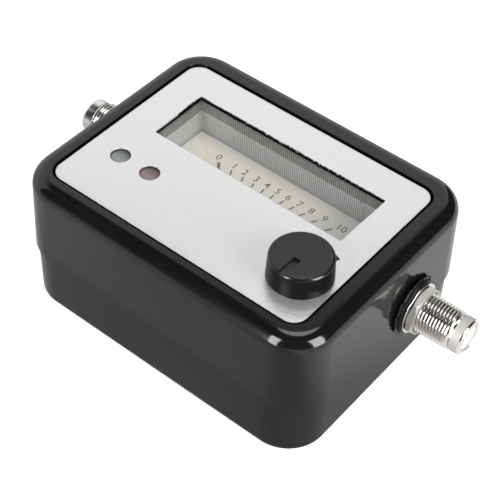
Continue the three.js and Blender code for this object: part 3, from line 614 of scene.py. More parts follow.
def washer_black():
    finish = Finish("washer_black")
    cloud = finish.noise(1.6 * MM, 3.0)
    grain = finish.noise(0.1 * MM)
    colour = finish.mixed(cloud, (0.02, 0.02, 0.021), (0.05, 0.049, 0.048))
    normal = finish.bump(grain, 0.008 * MM, 0.4)
    finish.done(finish.shader(colour, 0.28 + cloud * 0.2, 0.7, normal))


def knob_plastic(name, roughness, grain_depth, gloss=0.5):
    finish = Finish(name)
    grain = finish.noise(0.13 * MM, 3.0)
    cloud = finish.noise(4 * MM, 3.0)
    dust = finish.specks(1.8 * MM, 0.07 * MM, 0.2)
    colour = finish.mixed(grain, (0.0035, 0.0028, 0.003), (0.009, 0.0072, 0.0075))
    colour = finish.mixed(dust, colour, (0.12, 0.12, 0.115))
    rough = roughness + grain * 0.08 + cloud * 0.04
    normal = finish.bump(grain, grain_depth, 0.5)
    finish.done(finish.shader(colour, rough, 0.0, normal, gloss))


def lamp_clear(name, tint):
    """Faintly tinted; painted shade darkens the far side of each lamp, where the plate shades it, and
    painted light brightens the near side.
    """
    finish = Finish(name)
    swirl = finish.noise(1.2 * MM)
    low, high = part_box("led_left")
    # painted shade on the far side, painted light on the near side
    far = finish.parts(finish.place)[1].stepped(low.y + MM, high.y)
    light, dark = (tuple(part * level for part in tint) for level in (1.5, 0.35))
    lit_and_shaded = finish.mixed(far, light, dark)
    milky = finish.shader(lit_and_shaded, 0.08 + swirl * 0.08)
    share = 0.45 + finish.mirrored_share() * 0.5 + swirl * 0.1
    finish.done(finish.blended(share, finish.clear(tint), milky))


def board_green():
    """Solder mask with the faint lines of the tracks under it."""
    finish = Finish("board_green")
    tracks = finish.noise(2.2 * MM, 1.0, (1.0, 0.25, 1.0)).stepped(0.49, 0.53)
    weave = finish.noise(0.3 * MM, 1.0)
    colour = finish.mixed(tracks, (0.012, 0.10, 0.035), (0.025, 0.17, 0.06))
    colour = finish.mixed(weave * 0.3, colour, (0.01, 0.06, 0.02))
    finish.done(finish.shader(colour, 0.25 + weave * 0.15, 0.0, finish.bump(tracks, 0.02 * MM, 0.4)))


STEEL_LIGHT = (0.62, 0.61, 0.60)
STEEL_DARK = (0.48, 0.47, 0.46)
NICKEL_LIGHT = (0.84, 0.82, 0.79)
NICKEL_DARK = (0.72, 0.695, 0.66)
WORN_LIGHT = (0.46, 0.445, 0.42)
WORN_DARK = (0.31, 0.295, 0.275)
BRASS_LIGHT = (0.78, 0.58, 0.26)
BRASS_DARK = (0.62, 0.44, 0.18)
COPPER_LIGHT = (0.62, 0.27, 0.12)
COPPER_DARK = (0.35, 0.12, 0.045)


def mix_finishes():
    case_plastic()
    face_silver()
    clear_plastic()
    well_plastic()
    scale_cream()
    clouded("tray_plastic", 5 * MM, (0.58, 0.59, 0.60), (0.66, 0.665, 0.67), 0.4, 0.15, 0.02 * MM, 0.2)
    clouded("needle_paint", 0.3 * MM, (0.12, 0.10, 0.088), (0.17, 0.145, 0.13), 0.4, 0.2, 0.01 * MM, 0.3)
    plated("socket_plate", NICKEL_LIGHT, NICKEL_DARK, 0.11, True)
    plated("nut_plate", WORN_LIGHT, WORN_DARK, 0.34, False, 0.6)
    plated("nose_plate", WORN_LIGHT, WORN_DARK, 0.42, True, 0.15)
    plated("bright_steel", STEEL_LIGHT, STEEL_DARK, 0.25, False)
    plated("magnet_steel", STEEL_DARK, (0.3, 0.3, 0.3), 0.35, False)
    plated("brass_plain", BRASS_LIGHT, BRASS_DARK, 0.22, False)
    winding = {"metallic": 0.85, "detail": 1.0, "stretch": (1.0, 1.0, 0.05)}
    clouded("copper_coil", 0.12 * MM, COPPER_DARK, COPPER_LIGHT, 0.3, 0.15, 0.03 * MM, 0.6, **winding)
    washer_black()
    pale, dull = (0.50, 0.49, 0.465), (0.58, 0.57, 0.545)
    clouded("insulator_white", 1.5 * MM, pale, dull, 0.42, 0.15, 0.02 * MM, 0.3)
    knob_plastic("knob_plastic", 0.13, 0.001 * MM)
    knob_plastic("knob_side", 0.24, 0.002 * MM, 0.06)
    knob_plastic("knob_matt", 0.32, 0.012 * MM)
    lamp_clear("lamp_clear_green", (0.30, 0.33, 0.31))
    lamp_clear("lamp_clear_red", (0.31, 0.23, 0.235))
    for tint, light, dark in (
        ("green", (0.36, 0.42, 0.36), (0.22, 0.27, 0.23)),
        ("red", (0.62, 0.36, 0.36), (0.42, 0.22, 0.22)),
    ):
        clouded(f"lamp_core_{tint}", 0.8 * MM, light, dark, 0.3, 0.2, 0.05 * MM, 0.3)
    board_green()
    ink("label_ink", (0.012, 0.012, 0.013), (0.03, 0.03, 0.03))
    ink("scale_ink", (0.08, 0.062, 0.048), (0.14, 0.115, 0.095))


# Meshes


def piece_of(name, mesh):
    piece = bpy.data.objects.new(name, mesh)
    bpy.context.scene.collection.objects.link(piece)
    return piece


def closed(name, shape):
    """Turns a bmesh into a piece, with its doubles merged and its faces pointing out."""
    bmesh.ops.remove_doubles(shape, verts=shape.verts, dist=MERGE_GAP)
    bmesh.ops.recalc_face_normals(shape, faces=shape.faces)
    mesh = bpy.data.meshes.new(name)
    shape.to_mesh(mesh)
    shape.free()
    return piece_of(name, mesh)


def skinned(name, rings, capped):
    """A skin over rings that have the same number of points, with both ends capped if asked."""
    shape = bmesh.new()
    made = [[shape.verts.new(point) for point in ring] for ring in rings]
    for low, high in zip(made, made[1:]):
        for index in range(len(low)):
            following = (index + 1) % len(low)
            shape.faces.new((low[index], low[following], high[following], high[index]))
    if capped:
        shape.faces.new(made[0])
        shape.faces.new(made[-1])
    return closed(name, shape)


def loft(name, levels, steps=CORNER_STEPS):
    """A body over plans at rising heights, each level being (plan, height)."""
    rings = [[(x, y, height) for x, y in plan.points(steps)] for plan, height in levels]
    return skinned(name, rings, True)


def slab(name, plan, low, high):
    return loft(name, [(plan, low), (plan, high)])


def prism(name, outline, low, high):
    rings = [[(x, y, height) for x, y in outline] for height in (low, high)]
    return skinned(name, rings, True)


def turned(name, profile, steps=ROUND_STEPS):
    """A body of revolution about Z. The profile of (radius, height) meets the axis or closes."""
    angles = [TAU * step / steps for step in range(steps)]
    rings = []
    for radius, height in profile:
        rings.append([(radius * math.cos(angle), radius * math.sin(angle), height) for angle in angles])
    return skinned(name, rings, False)


def polar(centre, radius, angle):
    return (centre.x + radius * math.cos(angle), centre.y + radius * math.sin(angle))


def arc(radius_at, height_at, radius, start, end, steps=EDGE_STEPS):
    """Profile points on an arc round (radius_at, height_at); 0 degrees is outwards, 90 is up."""
    made = []
    for step in range(steps + 1):
        angle = math.radians(start + (end - start) * step / steps)
        made.append((radius_at + radius * math.cos(angle), height_at + radius * math.sin(angle)))
    return made


def cylinder(name, radius, low, high, place=(0, 0), steps=ROUND_STEPS):
    piece = turned(name, [(0, low), (radius, low), (radius, high), (0, high)], steps)
    return shifted(piece, place[0], place[1])


def ring(name, inner, outer, low, high, edge):
    """A washer: a tube with its four edges rounded."""
    profile = [
        *arc(outer - edge, low + edge, edge, -90, 0, TRIM_STEPS),
        *arc(outer - edge, high - edge, edge, 0, 90, TRIM_STEPS),
        *arc(inner + edge, high - edge, edge, 90, 180, TRIM_STEPS),
        *arc(inner + edge, low + edge, edge, 180, 270, TRIM_STEPS),
    ]
    return turned(name, [*profile, profile[0]])


def top_edge(plan, radius, top):
    """Levels that round a wall over to a flat top."""
    return [(plan.grown(out - radius), top + up - radius) for out, up in arc(0, 0, radius, 0, 90)]


def bottom_edge(plan, radius, bottom):
    return [(plan.grown(out - radius), bottom + up + radius) for out, up in arc(0, 0, radius, -90, 0)]


def moved(piece, matrix):
    piece.data.transform(matrix)
    return piece


def shifted(piece, x, y, z=0):
    return moved(piece, Matrix.Translation((x, y, z)))


def turned_about_z(piece, angle):
    return moved(piece, Matrix.Rotation(angle, 4, "Z"))


def final_mesh(piece):
    """The mesh that a curve, or a mesh with its modifiers, makes."""
    bpy.context.view_layer.update()
    evaluated = piece.evaluated_get(bpy.context.evaluated_depsgraph_get())
    return bpy.data.meshes.new_from_object(evaluated)


def mesh_of(curve):
    drawn = piece_of("drawn", curve)
    mesh = final_mesh(drawn)
    bpy.data.objects.remove(drawn)
    return mesh


def plain(piece):
    """Gives a piece the mesh that its modifiers make, and removes them."""
    mesh = final_mesh(piece)
    piece.modifiers.clear()
    piece.data = mesh
    return piece


def combined(piece, others, operation="DIFFERENCE"):
    for other in others:
        modifier = piece.modifiers.new(operation.lower(), "BOOLEAN")
        modifier.solver = "MANIFOLD"
        modifier.operation = operation
        modifier.object = other
    plain(piece)
    for other in others:
        bpy.data.objects.remove(other)
    return piece


def merged(name, pieces):
    """One piece made of several, joined where their rims meet."""
    shape = bmesh.new()
    for piece in pieces:
        shape.from_mesh(piece.data)
        bpy.data.objects.remove(piece)
    return closed(name, shape)


def beveled(piece, width):
    modifier = piece.modifiers.new("bevel", "BEVEL")
    modifier.width = width
    modifier.segments = 2
    modifier.limit_method = "ANGLE"
    modifier.angle_limit = math.radians(BEVEL_ANGLE)
    return plain(piece)


def smoothed(piece, angle=SHARP_ANGLE):
    """Smooth shading that stays crisp at sharp edges and flat on flat faces."""
    shape = bmesh.new()
    shape.from_mesh(piece.data)
    limit = math.radians(angle)
    for face in shape.faces:
        face.smooth = True
    for edge in shape.edges:
        edge.smooth = edge.is_manifold and edge.calc_face_angle() < limit
    shape.to_mesh(piece.data)
    shape.free()
    modifier = piece.modifiers.new("normals", "WEIGHTED_NORMAL")
    modifier.keep_sharp = True
    return plain(piece)


def paint(piece, *finishes):
    piece.data.materials.clear()
    for finish in finishes:
        piece.data.materials.append(FINISHES[finish])


def finished(piece, finish, *replaced, body="case", slot=None):
    """Gives a piece its finish, unless it is painted, its body and the nodes replaced; the slot is not
    used.
    """
    if not any(piece.data.materials):
        paint(piece, finish)
    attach(piece, body)
    if replaced:
        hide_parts(*replaced)


# Patterns of repeated shapes


FLOAT = "NodeSocketFloat"
WHOLE = "NodeSocketInt"
VECTOR = "NodeSocketVector"


class Pattern(Graph):
    """A geometry node tree with named inputs, whose result is realized and given a finish."""

    def __init__(self, name, sizes):
        super().__init__(bpy.data.node_groups.new(name, "GeometryNodeTree"))
        interface = self.tree.interface
        interface.new_socket("Geometry", in_out="OUTPUT", socket_type="NodeSocketGeometry")
        interface.new_socket("Geometry", in_out="INPUT", socket_type="NodeSocketGeometry")
        for label, kind in sizes.items():
            interface.new_socket(label, in_out="INPUT", socket_type=kind)
        interface.new_socket("Finish", in_out="INPUT", socket_type="NodeSocketMaterial")
        self.entry = self.node("NodeGroupInput")

    def size(self, label):
        return Value(self, self.entry.outputs[label])

    def done(self, geometry):
        real = self.node("GeometryNodeRealizeInstances", {0: geometry}).outputs[0]
        inputs = {"Geometry": real, "Material": self.entry.outputs["Finish"]}
        painted = self.node("GeometryNodeSetMaterial", inputs).outputs[0]
        self.node("NodeGroupOutput", {0: painted})
        return self.tree


def thread_tree():
    """A screw thread: a strip one pitch wide that winds up along Z and fades out at both ends."""
    sizes = {"Root Radius": FLOAT, "Depth": FLOAT, "Pitch": FLOAT, "Turns": WHOLE, "Steps": WHOLE}
    pattern = Pattern("thread", sizes)
    turns = pattern.size("Turns")
    pitch = pattern.size("Pitch")
    count = (turns + 1) * pattern.size("Steps") + 1
    inputs = {"Size X": 1.0, "Size Y": 1.0, "Vertices X": count, "Vertices Y": THREAD_ROWS}
    grid = pattern.node("GeometryNodeMeshGrid", inputs).outputs["Mesh"]
    along, across, _ = pattern.parts(pattern.node("GeometryNodeInputPosition").outputs[0])
    turn = (along + 0.5) * (turns + 1)
    rise = (turn + across - 0.5).clamped(0.0, turns)
    ridge = ((1 - abs(across * 2)) * THREAD_SLOPE - THREAD_ROOT).clamped()
    fade = rise.stepped(0.0, THREAD_RUN_IN) * (turns - rise).stepped(0.0, THREAD_RUN_OUT)
    radius = pattern.size("Root Radius") + pattern.size("Depth") * ridge * fade
    angle = turn * TAU
    place = pattern.vector(radius * angle.cosine(), radius * angle.sine(), rise * pitch)
    wound = pattern.node("GeometryNodeSetPosition", {"Geometry": grid, "Position": place}).outputs[0]
    return pattern.done(wound)


def row_tree():
    """Copies of a shape in a straight row."""
    pattern = Pattern("row", {"Count": WHOLE, "Step": VECTOR})
    inputs = {"Count": pattern.size("Count"), "Offset": pattern.size("Step")}
    line = pattern.node("GeometryNodeMeshLine", inputs, mode="OFFSET").outputs[0]
    inputs = {"Points": line, "Instance": pattern.entry.outputs["Geometry"]}
    return pattern.done(pattern.node("GeometryNodeInstanceOnPoints", inputs).outputs[0])


def fan_tree():
    """Copies of a shape turned about Z. With a reach of 1 their ends lie on straight lines."""
    pattern = Pattern("fan", {"Count": WHOLE, "First": FLOAT, "Step": FLOAT, "Reach": FLOAT})
    points = pattern.node("GeometryNodePoints", {"Count": pattern.size("Count")}).outputs[0]
    number = Value(pattern, pattern.node("GeometryNodeInputIndex").outputs[0])
    angle = pattern.size("First") + pattern.size("Step") * number
    drawn = 1 + pattern.size("Reach") * (1 / angle.cosine() - 1)
    inputs = {
        "Points": points,
        "Instance": pattern.entry.outputs["Geometry"],
        "Rotation": pattern.vector(0.0, 0.0, angle),
        "Scale": pattern.vector(1.0, drawn, 1.0),
    }
    return pattern.done(pattern.node("GeometryNodeInstanceOnPoints", inputs).outputs[0])


TREES = {"thread": thread_tree(), "row": row_tree(), "fan": fan_tree()}


def repeated(piece, tree, finish, sizes):
    """Runs a pattern on a piece and keeps the plain mesh."""
    modifier = piece.modifiers.new(tree, "NODES")
    modifier.node_group = TREES[tree]
    values = {**sizes, "Finish": FINISHES[finish]}
    for item in TREES[tree].interface.items_tree:
        if item.in_out == "INPUT" and item.name in values:
            modifier[item.identifier] = values[item.name]
    return plain(piece)


# Case


def socket_cutters():
    """Bodies that bore both ends of a shell for the sockets."""
    made = []
    for side, name in ((1, "right"), (-1, "left")):
        axis = middle_of(f"{name}_socket_barrel")
        inner = cavity_plan.half_x - OVERRUN
        cutter = cylinder("bore", SOCKET_HOLE, inner, flared_plan.half_x + OVERRUN)
        moved(cutter, Matrix.Rotation(side * TAU / 4, 4, "Y"))
        made.append(shifted(cutter, 0, axis.y, axis.z))
    return made


def case_top_half():
    outside = loft("case_top_half", [
        *bottom_edge(flared_plan, JOINT_EDGE, joint),
        *top_edge(upper_plan, TOP_EDGE, case_top),
    ])
    hollow = loft("hollow", [
        (flared_plan.grown(JOINT_GAP - TONGUE_INSET), joint - OVERRUN),
        (flared_plan.grown(JOINT_GAP - TONGUE_INSET), lower_high.z + JOINT_GAP),
        (flared_plan.grown(-WALL), lower_high.z + JOINT_GAP),
        (upper_plan.grown(-WALL), ceiling),
    ])
    recess = loft("recess", [
        (plate_plan.grown(PLATE_GAP), recess_floor),
        (plate_plan.grown(PLATE_GAP), case_top - RIM_CHAMFER),
        (plate_plan.grown(PLATE_GAP + RIM_CHAMFER), case_top),
        (plate_plan.grown(PLATE_GAP + RIM_CHAMFER), case_top + OVERRUN),
    ])
    lens_hole = slab("lens_hole", lens_plan.grown(PLATE_GAP), ceiling - OVERRUN, case_top)
    knob_at = middle_of("pot_shaft")
    bush_hole = cylinder("bush_hole", BUSH_HOLE, ceiling - OVERRUN, case_top, knob_at)
    lamp_holes = [
        cylinder("lamp_hole", LAMP_RADIUS + PLATE_GAP, ceiling - OVERRUN, case_top, middle_of(lamp))
        for lamp in ("led_left", "led_right")
    ]
    cutters = [hollow, recess, lens_hole, bush_hole, *lamp_holes, *socket_cutters()]
    finished(smoothed(combined(outside, cutters)), "case_plastic", "upper_shell")


def case_bottom_half():
    joint_face = joint - JOINT_GAP
    outside = loft("case_bottom_half", [
        *bottom_edge(lower_plan.grown(-LOWER_DRAFT), BOTTOM_EDGE, 0),
        (lower_plan, joint_face - JOINT_EDGE),
        (lower_plan.grown(-JOINT_EDGE * 0.6), joint_face),
        (tongue_plan, joint_face),
        (tongue_plan, lower_high.z),
    ])
    hollow = loft("hollow", [
        (cavity_plan, WALL),
        (cavity_plan, lower_high.z + OVERRUN),
    ])
    screws = [middle_of(f"case_screw_{number}") for number in range(1, 5)]
    posts = [cylinder("post", SCREW_HOLE + WALL / 2, 0, lower_high.z, place) for place in screws]
    outside = combined(outside, [combined(hollow, posts)])
    holes = [cylinder("hole", SCREW_HOLE, -OVERRUN, SCREW_HOLE_DEPTH, place) for place in screws]
    finished(smoothed(combined(outside, [*holes, *socket_cutters()])), "case_plastic", "lower_shell")


def cross_recess_screw(number):
    """A round-headed screw seen from below, with a cross recess and its shank."""
    node = f"case_screw_{number}"
    low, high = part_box(node)
    profile = [
        (0, low.z),
        *arc(SCREW_HEAD - SCREW_HEAD_EDGE, low.z + SCREW_HEAD_EDGE, SCREW_HEAD_EDGE, -90, 0),
        (SCREW_HEAD, low.z + SCREW_HEAD_HEIGHT),
        (SCREW_SHANK, low.z + SCREW_HEAD_HEIGHT),
        (SCREW_SHANK, high.z - SCREW_SHANK),
        (0, high.z),
    ]
    screw = turned(f"fine_{node}", profile, SMALL_STEPS)
    arms = []
    for size_x, size_y in ((CROSS_LENGTH, CROSS_WIDTH), (CROSS_WIDTH, CROSS_LENGTH)):
        arm = Plan(0, 0, size_x / 2, size_y / 2, CROSS_WIDTH / 4)
        arms.append(loft("arm", [
            (arm, low.z - OVERRUN),
            (arm, low.z),
            (arm.grown(-CROSS_WIDTH / 4), low.z + CROSS_DEPTH),
        ], TRIM_STEPS))
    combined(screw, arms)
    middle = middle_of(node)
    finished(smoothed(shifted(screw, middle.x, middle.y)), "bright_steel", node)


# Face plate, lens and scale


def flat_plate(name, loops, low, high, edge):
    """A plate from flat outlines, the first outside and the others holes, with rounded edges."""
    curve = bpy.data.curves.new(name, "CURVE")
    curve.dimensions = "2D"
    curve.fill_mode = "BOTH"
    for points in loops:
        spline = curve.splines.new("POLY")
        spline.points.add(len(points) - 1)
        for target, (x, y) in zip(spline.points, points):
            target.co = (x, y, 0, 1)
        spline.use_cyclic_u = True
    curve.extrude = (high - low) / 2 - edge
    curve.bevel_depth = edge
    curve.bevel_resolution = 1
    curve.offset = -edge
    shape = bmesh.new()
    shape.from_mesh(mesh_of(curve))
    return shifted(closed(name, shape), 0, 0, (low + high) / 2)


def circle(centre, radius, steps=ROUND_STEPS):
    """A clockwise ring of points, as a hole in a plate needs."""
    return [polar(centre, radius, -TAU * step / steps) for step in range(steps)]


def label_plate():
    loops = [
        plate_plan.points(CORNER_STEPS),
        window_plan.points(WINDOW_CORNER_STEPS)[::-1],
        circle(middle_of("led_left"), LAMP_HOLE),
        circle(middle_of("led_right"), LAMP_HOLE),
        circle(middle_of("pot_shaft"), BUSH_HOLE),
    ]
    piece = flat_plate("label_plate", loops, plate_low.z, plate_high.z, PLATE_EDGE)
    finished(smoothed(piece, LABEL_SHARP_ANGLE), "face_silver", "face_plate")


def lens_body():
    roof = lens_high.z - LENS_WALL
    flange_top = ceiling - PLATE_GAP
    body = slab("meter_cover", lens_plan, lens_low.z, lens_high.z)
    flange = slab("flange", lens_plan.grown(LENS_FLANGE), flange_top - LENS_WALL, flange_top)
    combined(body, [flange], "UNION")
    well = slab("well", well_plan, lens_low.z - OVERRUN, roof)
    slot_plan = Plan(PIVOT.x, well_near, NEEDLE_SLOT_HALF + OVERRUN, NEEDLE_SLOT_DEPTH, 0)
    slot = slab("slot", slot_plan, lens_low.z - OVERRUN, NEEDLE_SLOT_TOP)
    combined(body, [well, slot])
    paint(body, "clear_plastic", "well_plastic")
    for face in body.data.polygons:
        flat = abs(face.normal.z) > FACING_UP
        face.material_index = 0 if flat and face.center.z > roof - MM else 1
    finished(smoothed(body), "clear_plastic", "meter_lens")


def lens_ribs():
    """Fine upright ribs on the far wall of the well."""
    roof = lens_high.z - LENS_WALL
    rib = cylinder("meter_cover_ribs", RIB_RADIUS, rib_low, roof, (rib_left, well_far), RIB_STEPS)
    sizes = {"Count": int((rib_right - rib_left) / RIB_PITCH) + 1, "Step": (RIB_PITCH, 0.0, 0.0)}
    piece = repeated(rib, "row", "well_plastic", sizes)
    finished(smoothed(piece, RIB_SHARP_ANGLE), "well_plastic", slot="clear_plastic")


def scale_ticks():
    """Eleven ticks that point at the needle's pivot and end on two straight lines."""
    middle = (TICK_LOW + TICK_HIGH) / 2 - PIVOT.y
    tick = Plan(0, middle, TICK_WIDTH / 2, (TICK_HIGH - TICK_LOW) / 2, TICK_CORNER)
    levels = [(tick, scale_high.z), (tick, scale_high.z + INK)]
    piece = loft("scale_ticks", levels, TICK_CORNER_STEPS)
    first = SCALE_STEP * (SCALE_MARKS - 1) / 2
    sizes = {"Count": SCALE_MARKS, "First": first, "Step": -SCALE_STEP, "Reach": 1.0}
    piece = repeated(piece, "fan", "scale_ink", sizes)
    finished(shifted(piece, *PIVOT), "scale_ink")


def printed_number(number):
    """A flat mesh of a number about its own middle."""
    curve = bpy.data.curves.new("number", "FONT")
    curve.body = str(number)
    curve.size = DIGIT_SIZE
    curve.align_x = "CENTER"
    curve.align_y = "CENTER"
    curve.extrude = INK / 2
    curve.offset = DIGIT_SWELL
    curve.resolution_u = DIGIT_STEPS
    mesh = mesh_of(curve)
    low = min(vertex.co.y for vertex in mesh.vertices)
    high = max(vertex.co.y for vertex in mesh.vertices)
    return shifted(piece_of("number", mesh), 0, -(low + high) / 2)


def scale_numbers():
    """The numbers 0 to 10, each in line with its tick and the pivot."""
    made = []
    for number in range(SCALE_MARKS):
        angle = SCALE_STEP * (number - (SCALE_MARKS - 1) / 2)
        x = PIVOT.x + (DIGIT_LINE - PIVOT.y) * math.tan(angle) + DIGIT_SHIFTS.get(number, 0)
        made.append(shifted(printed_number(number), x, DIGIT_LINE, scale_high.z + INK / 2))
    finished(merged("scale_numbers", made), "scale_ink")


def pointer():
    """The needle, whose tip lies just beside the tick for 0."""
    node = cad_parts["needle"]
    pivot = Matrix.Translation(PIVOT)
    shape = bmesh.new()
    shape.from_mesh(node.data)
    leaned = Matrix.Rotation(-NEEDLE_TURN, 4, "Z") @ Matrix.Diagonal((NEEDLE_REACH, NEEDLE_REACH, 1, 1))
    shape.transform(pivot @ leaned @ pivot.inverted() @ node.matrix_world)
    finished(closed("pointer", shape), "needle_paint", "needle", body="needle")


# Lamps


def lamp(name, tint):
    node = f"led_{name}"
    low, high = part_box(node)
    middle = middle_of(node)
    flange = half_of(node).x
    shoulder = high.z - LAMP_DOME
    dome = []
    for out, up in arc(0, 0, 1, 0, 90, DOME_STEPS):
        dome.append((LAMP_RADIUS * out ** LAMP_FULLNESS, shoulder + LAMP_DOME * up ** LAMP_FULLNESS))
    profile = [
        (0, low.z),
        (flange, low.z),
        (flange, low.z + LAMP_FLANGE),
        (LAMP_RADIUS, low.z + LAMP_FLANGE),
        *dome,
    ]
    body = shifted(turned(f"lamp_{name}", profile), middle.x, middle.y)
    finished(smoothed(body), f"lamp_clear_{tint}", node)
    core_top = high.z - LAMP_CORE_DROP
    core_profile = [
        (0, low.z + LAMP_FLANGE),
        (LAMP_CORE_RADIUS * LAMP_CORE_FOOT, low.z + LAMP_FLANGE),
        (LAMP_CORE_RADIUS, core_top - LAMP_CORE_RADIUS * LAMP_CORE_TAPER),
        *arc(0, core_top - LAMP_CORE_RADIUS, LAMP_CORE_RADIUS, 0, 90, CORE_STEPS),
    ]
    core = shifted(turned(f"lamp_{name}_core", core_profile), middle.x, middle.y)
    finished(smoothed(core), f"lamp_core_{tint}")


# Knob


def control_knob():
    low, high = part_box("knob")
    middle = middle_of("knob")
    base_radius = half_of("knob").x
    skirt = low.z - KNOB_DROP
    shaft = half_of("pot_shaft").x + SHAFT_GAP
    shaft_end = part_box("pot_shaft")[1].z + SHAFT_GAP
    crown = high.z - KNOB_CROWN
    profile = [
        (base_radius - KNOB_WALL, skirt),
        (base_radius - KNOB_SKIRT_EDGE, skirt),
        (base_radius, skirt + KNOB_SKIRT_EDGE),
        *arc(KNOB_TOP_RADIUS - KNOB_EDGE, high.z - KNOB_EDGE, KNOB_EDGE, 0, 90, KNOB_EDGE_STEPS),
        (0, high.z),
        (0, shaft_end),
        (shaft, shaft_end),
        (shaft, crown),
        (KNOB_TOP_RADIUS - KNOB_WALL, crown),
        (base_radius - KNOB_WALL, skirt),
    ]
    knob = turned("control_knob", profile, KNOB_STEPS)
    groove_end = base_radius + OVERRUN
    middle_x = (GROOVE_START + groove_end) / 2
    plan = Plan(middle_x, 0, (groove_end - GROOVE_START) / 2, GROOVE_WIDTH / 2, GROOVE_CORNER)
    groove = slab("groove", plan, high.z - GROOVE_DEPTH, high.z + OVERRUN)
    pit_half = GROOVE_PIT_LENGTH / 2
    pit_width = GROOVE_WIDTH - 2 * GROOVE_CORNER
    pit_plan = Plan(GROOVE_START + pit_half, 0, pit_half, pit_width / 2, GROOVE_CORNER / 2)
    pit = slab("pit", pit_plan, high.z - GROOVE_PIT, high.z + OVERRUN)
    combined(knob, [turned_about_z(groove, GROOVE_ANGLE), turned_about_z(pit, GROOVE_ANGLE)])
    shifted(knob, middle.x, middle.y)
    paint(knob, "knob_plastic", "knob_matt", "knob_side")
    for face in knob.data.polygons:
        if face.normal.z > FACING_UP and face.center.z > crown:
            face.material_index = 1
        elif abs(face.normal.z) < KNOB_SIDE_LEAN:
            face.material_index = 2
    finished(smoothed(knob), "knob_plastic", "knob", body="knob")


def knob_sweep():
    """A printed wedge round the knob that widens clockwise and ends in a straight cut."""
    centre = middle_of("knob")
    inner = []
    outer = []
    for step in range(SWEEP_STEPS + 1):
        share = step / SWEEP_STEPS
        angle = SWEEP_FROM + (SWEEP_TO - SWEEP_FROM) * share
        width = SWEEP_WIDTH * (SWEEP_NARROW + (1 - SWEEP_NARROW) * share)
        inner.append(polar(centre, SWEEP_RADIUS - width, angle))
        outer.append(polar(centre, SWEEP_RADIUS, angle))
    piece = prism("knob_sweep", [*inner, *outer[::-1]], plate_high.z, plate_high.z + INK)
    finished(piece, "label_ink")


# Sockets


def nut(name, low, high):
    """A hexagonal nut whose corners are turned off to a cone on both faces."""
    corner = NUT_FLATS / math.sqrt(3)
    outline = [polar(Vector((0, 0)), corner, TAU * step / 6) for step in range(6)]
    body = prism(name, outline, low, high)
    cone = turned("cone", [
        (0, low),
        (NUT_FLATS / 2, low),
        (corner, low + NUT_CHAMFER),
        (corner, high - NUT_CHAMFER),
        (NUT_FLATS / 2, high),
        (0, high),
    ])
    combined(body, [cone], "INTERSECT")
    mouth = NUT_HOLE + NUT_CHAMFER + OVERRUN
    bore = turned("bore", [
        (0, low - OVERRUN),
        (mouth, low - OVERRUN),
        (NUT_HOLE, low + NUT_CHAMFER),
        (NUT_HOLE, high - NUT_CHAMFER),
        (mouth, high + OVERRUN),
        (0, high + OVERRUN),
    ])
    return turned_about_z(beveled(combined(body, [bore]), NUT_EDGE), NUT_TURN)


def barrel(name, length):
    """A threaded barrel with its flange, nose and bore; the thread is wound by a pattern."""
    root = THREAD_CREST - THREAD_DEPTH
    thread_end = length - NOSE_LENGTH
    thread_start = thread_end - THREAD_PITCH * THREAD_TURNS
    flange_back = FLANGE_FACE - FLANGE_THICKNESS
    rim = BARREL_FLANGE - BARREL_EDGE
    nose = NOSE_RADIUS - NOSE_CHAMFER
    body = turned(name, [
        (root, thread_start),
        (root, FLANGE_FACE),
        *arc(rim, FLANGE_FACE - BARREL_EDGE, BARREL_EDGE, 90, 0, TRIM_STEPS),
        *arc(rim, flange_back + BARREL_EDGE, BARREL_EDGE, 0, -90, TRIM_STEPS),
        (BARREL_TAIL, flange_back),
        (BARREL_TAIL, BARREL_EDGE),
        (BARREL_TAIL - BARREL_EDGE, 0),
        (BORE, 0),
        (BORE, length - BARREL_EDGE),
        (BORE + BARREL_EDGE, length),
        *arc(nose, length - NOSE_CHAMFER, NOSE_CHAMFER, 90, 0, NOSE_STEPS),
        (NOSE_RADIUS, thread_end + BARREL_EDGE),
        (root, thread_end),
    ], THREAD_STEPS)
    strip = piece_of("thread", bpy.data.meshes.new("thread"))
    sizes = {
        "Root Radius": root,
        "Depth": THREAD_DEPTH,
        "Pitch": THREAD_PITCH,
        "Turns": THREAD_TURNS,
        "Steps": THREAD_STEPS,
    }
    repeated(strip, "thread", "socket_plate", sizes)
    return merged(name, [body, shifted(strip, 0, 0, thread_start)])


def toothed_washer(name, low, high):
    body = ring(name, WASHER_HOLE, TOOTH_ROOT, low, high, TOOTH_RING_EDGE)
    reach = (half_of("right_toothed_washer").z - TOOTH_ROOT) / 2
    plan = Plan(0, TOOTH_ROOT + reach, TOOTH_WIDTH / 2, reach, TOOTH_CORNER)
    half = TOOTH_THICKNESS / 2
    tooth = loft("tooth", [
        (plan.grown(-TOOTH_EDGE), -half),
        (plan, TOOTH_EDGE - half),
        (plan, half - TOOTH_EDGE),
        (plan.grown(-TOOTH_EDGE), half),
    ], TRIM_STEPS)
    moved(tooth, Matrix.Rotation(TOOTH_TWIST, 4, "Y"))
    sizes = {"Count": TOOTH_COUNT, "First": 0.0, "Step": TAU / TOOTH_COUNT, "Reach": 0.0}
    teeth = repeated(tooth, "fan", "washer_black", sizes)
    return merged(name, [body, shifted(teeth, 0, 0, low + (high - low) / 4)])


def plug(name, length):
    """The pale insulator in the bore, with a funnel for the cord's pin."""
    face = length - PLUG_RECESS
    outer = BORE - PLUG_GAP
    return turned(name, [
        (0, 0),
        (outer, 0),
        (outer, face - PLUG_EDGE),
        (outer - PLUG_EDGE, face),
        (PIN_ENTRY + PIN_FUNNEL, face),
        (PIN_ENTRY, face - PIN_FUNNEL),
        (PIN_ENTRY, face - PIN_ENTRY_DEPTH),
        (0, face - PIN_ENTRY_DEPTH),
    ], SMALL_STEPS)


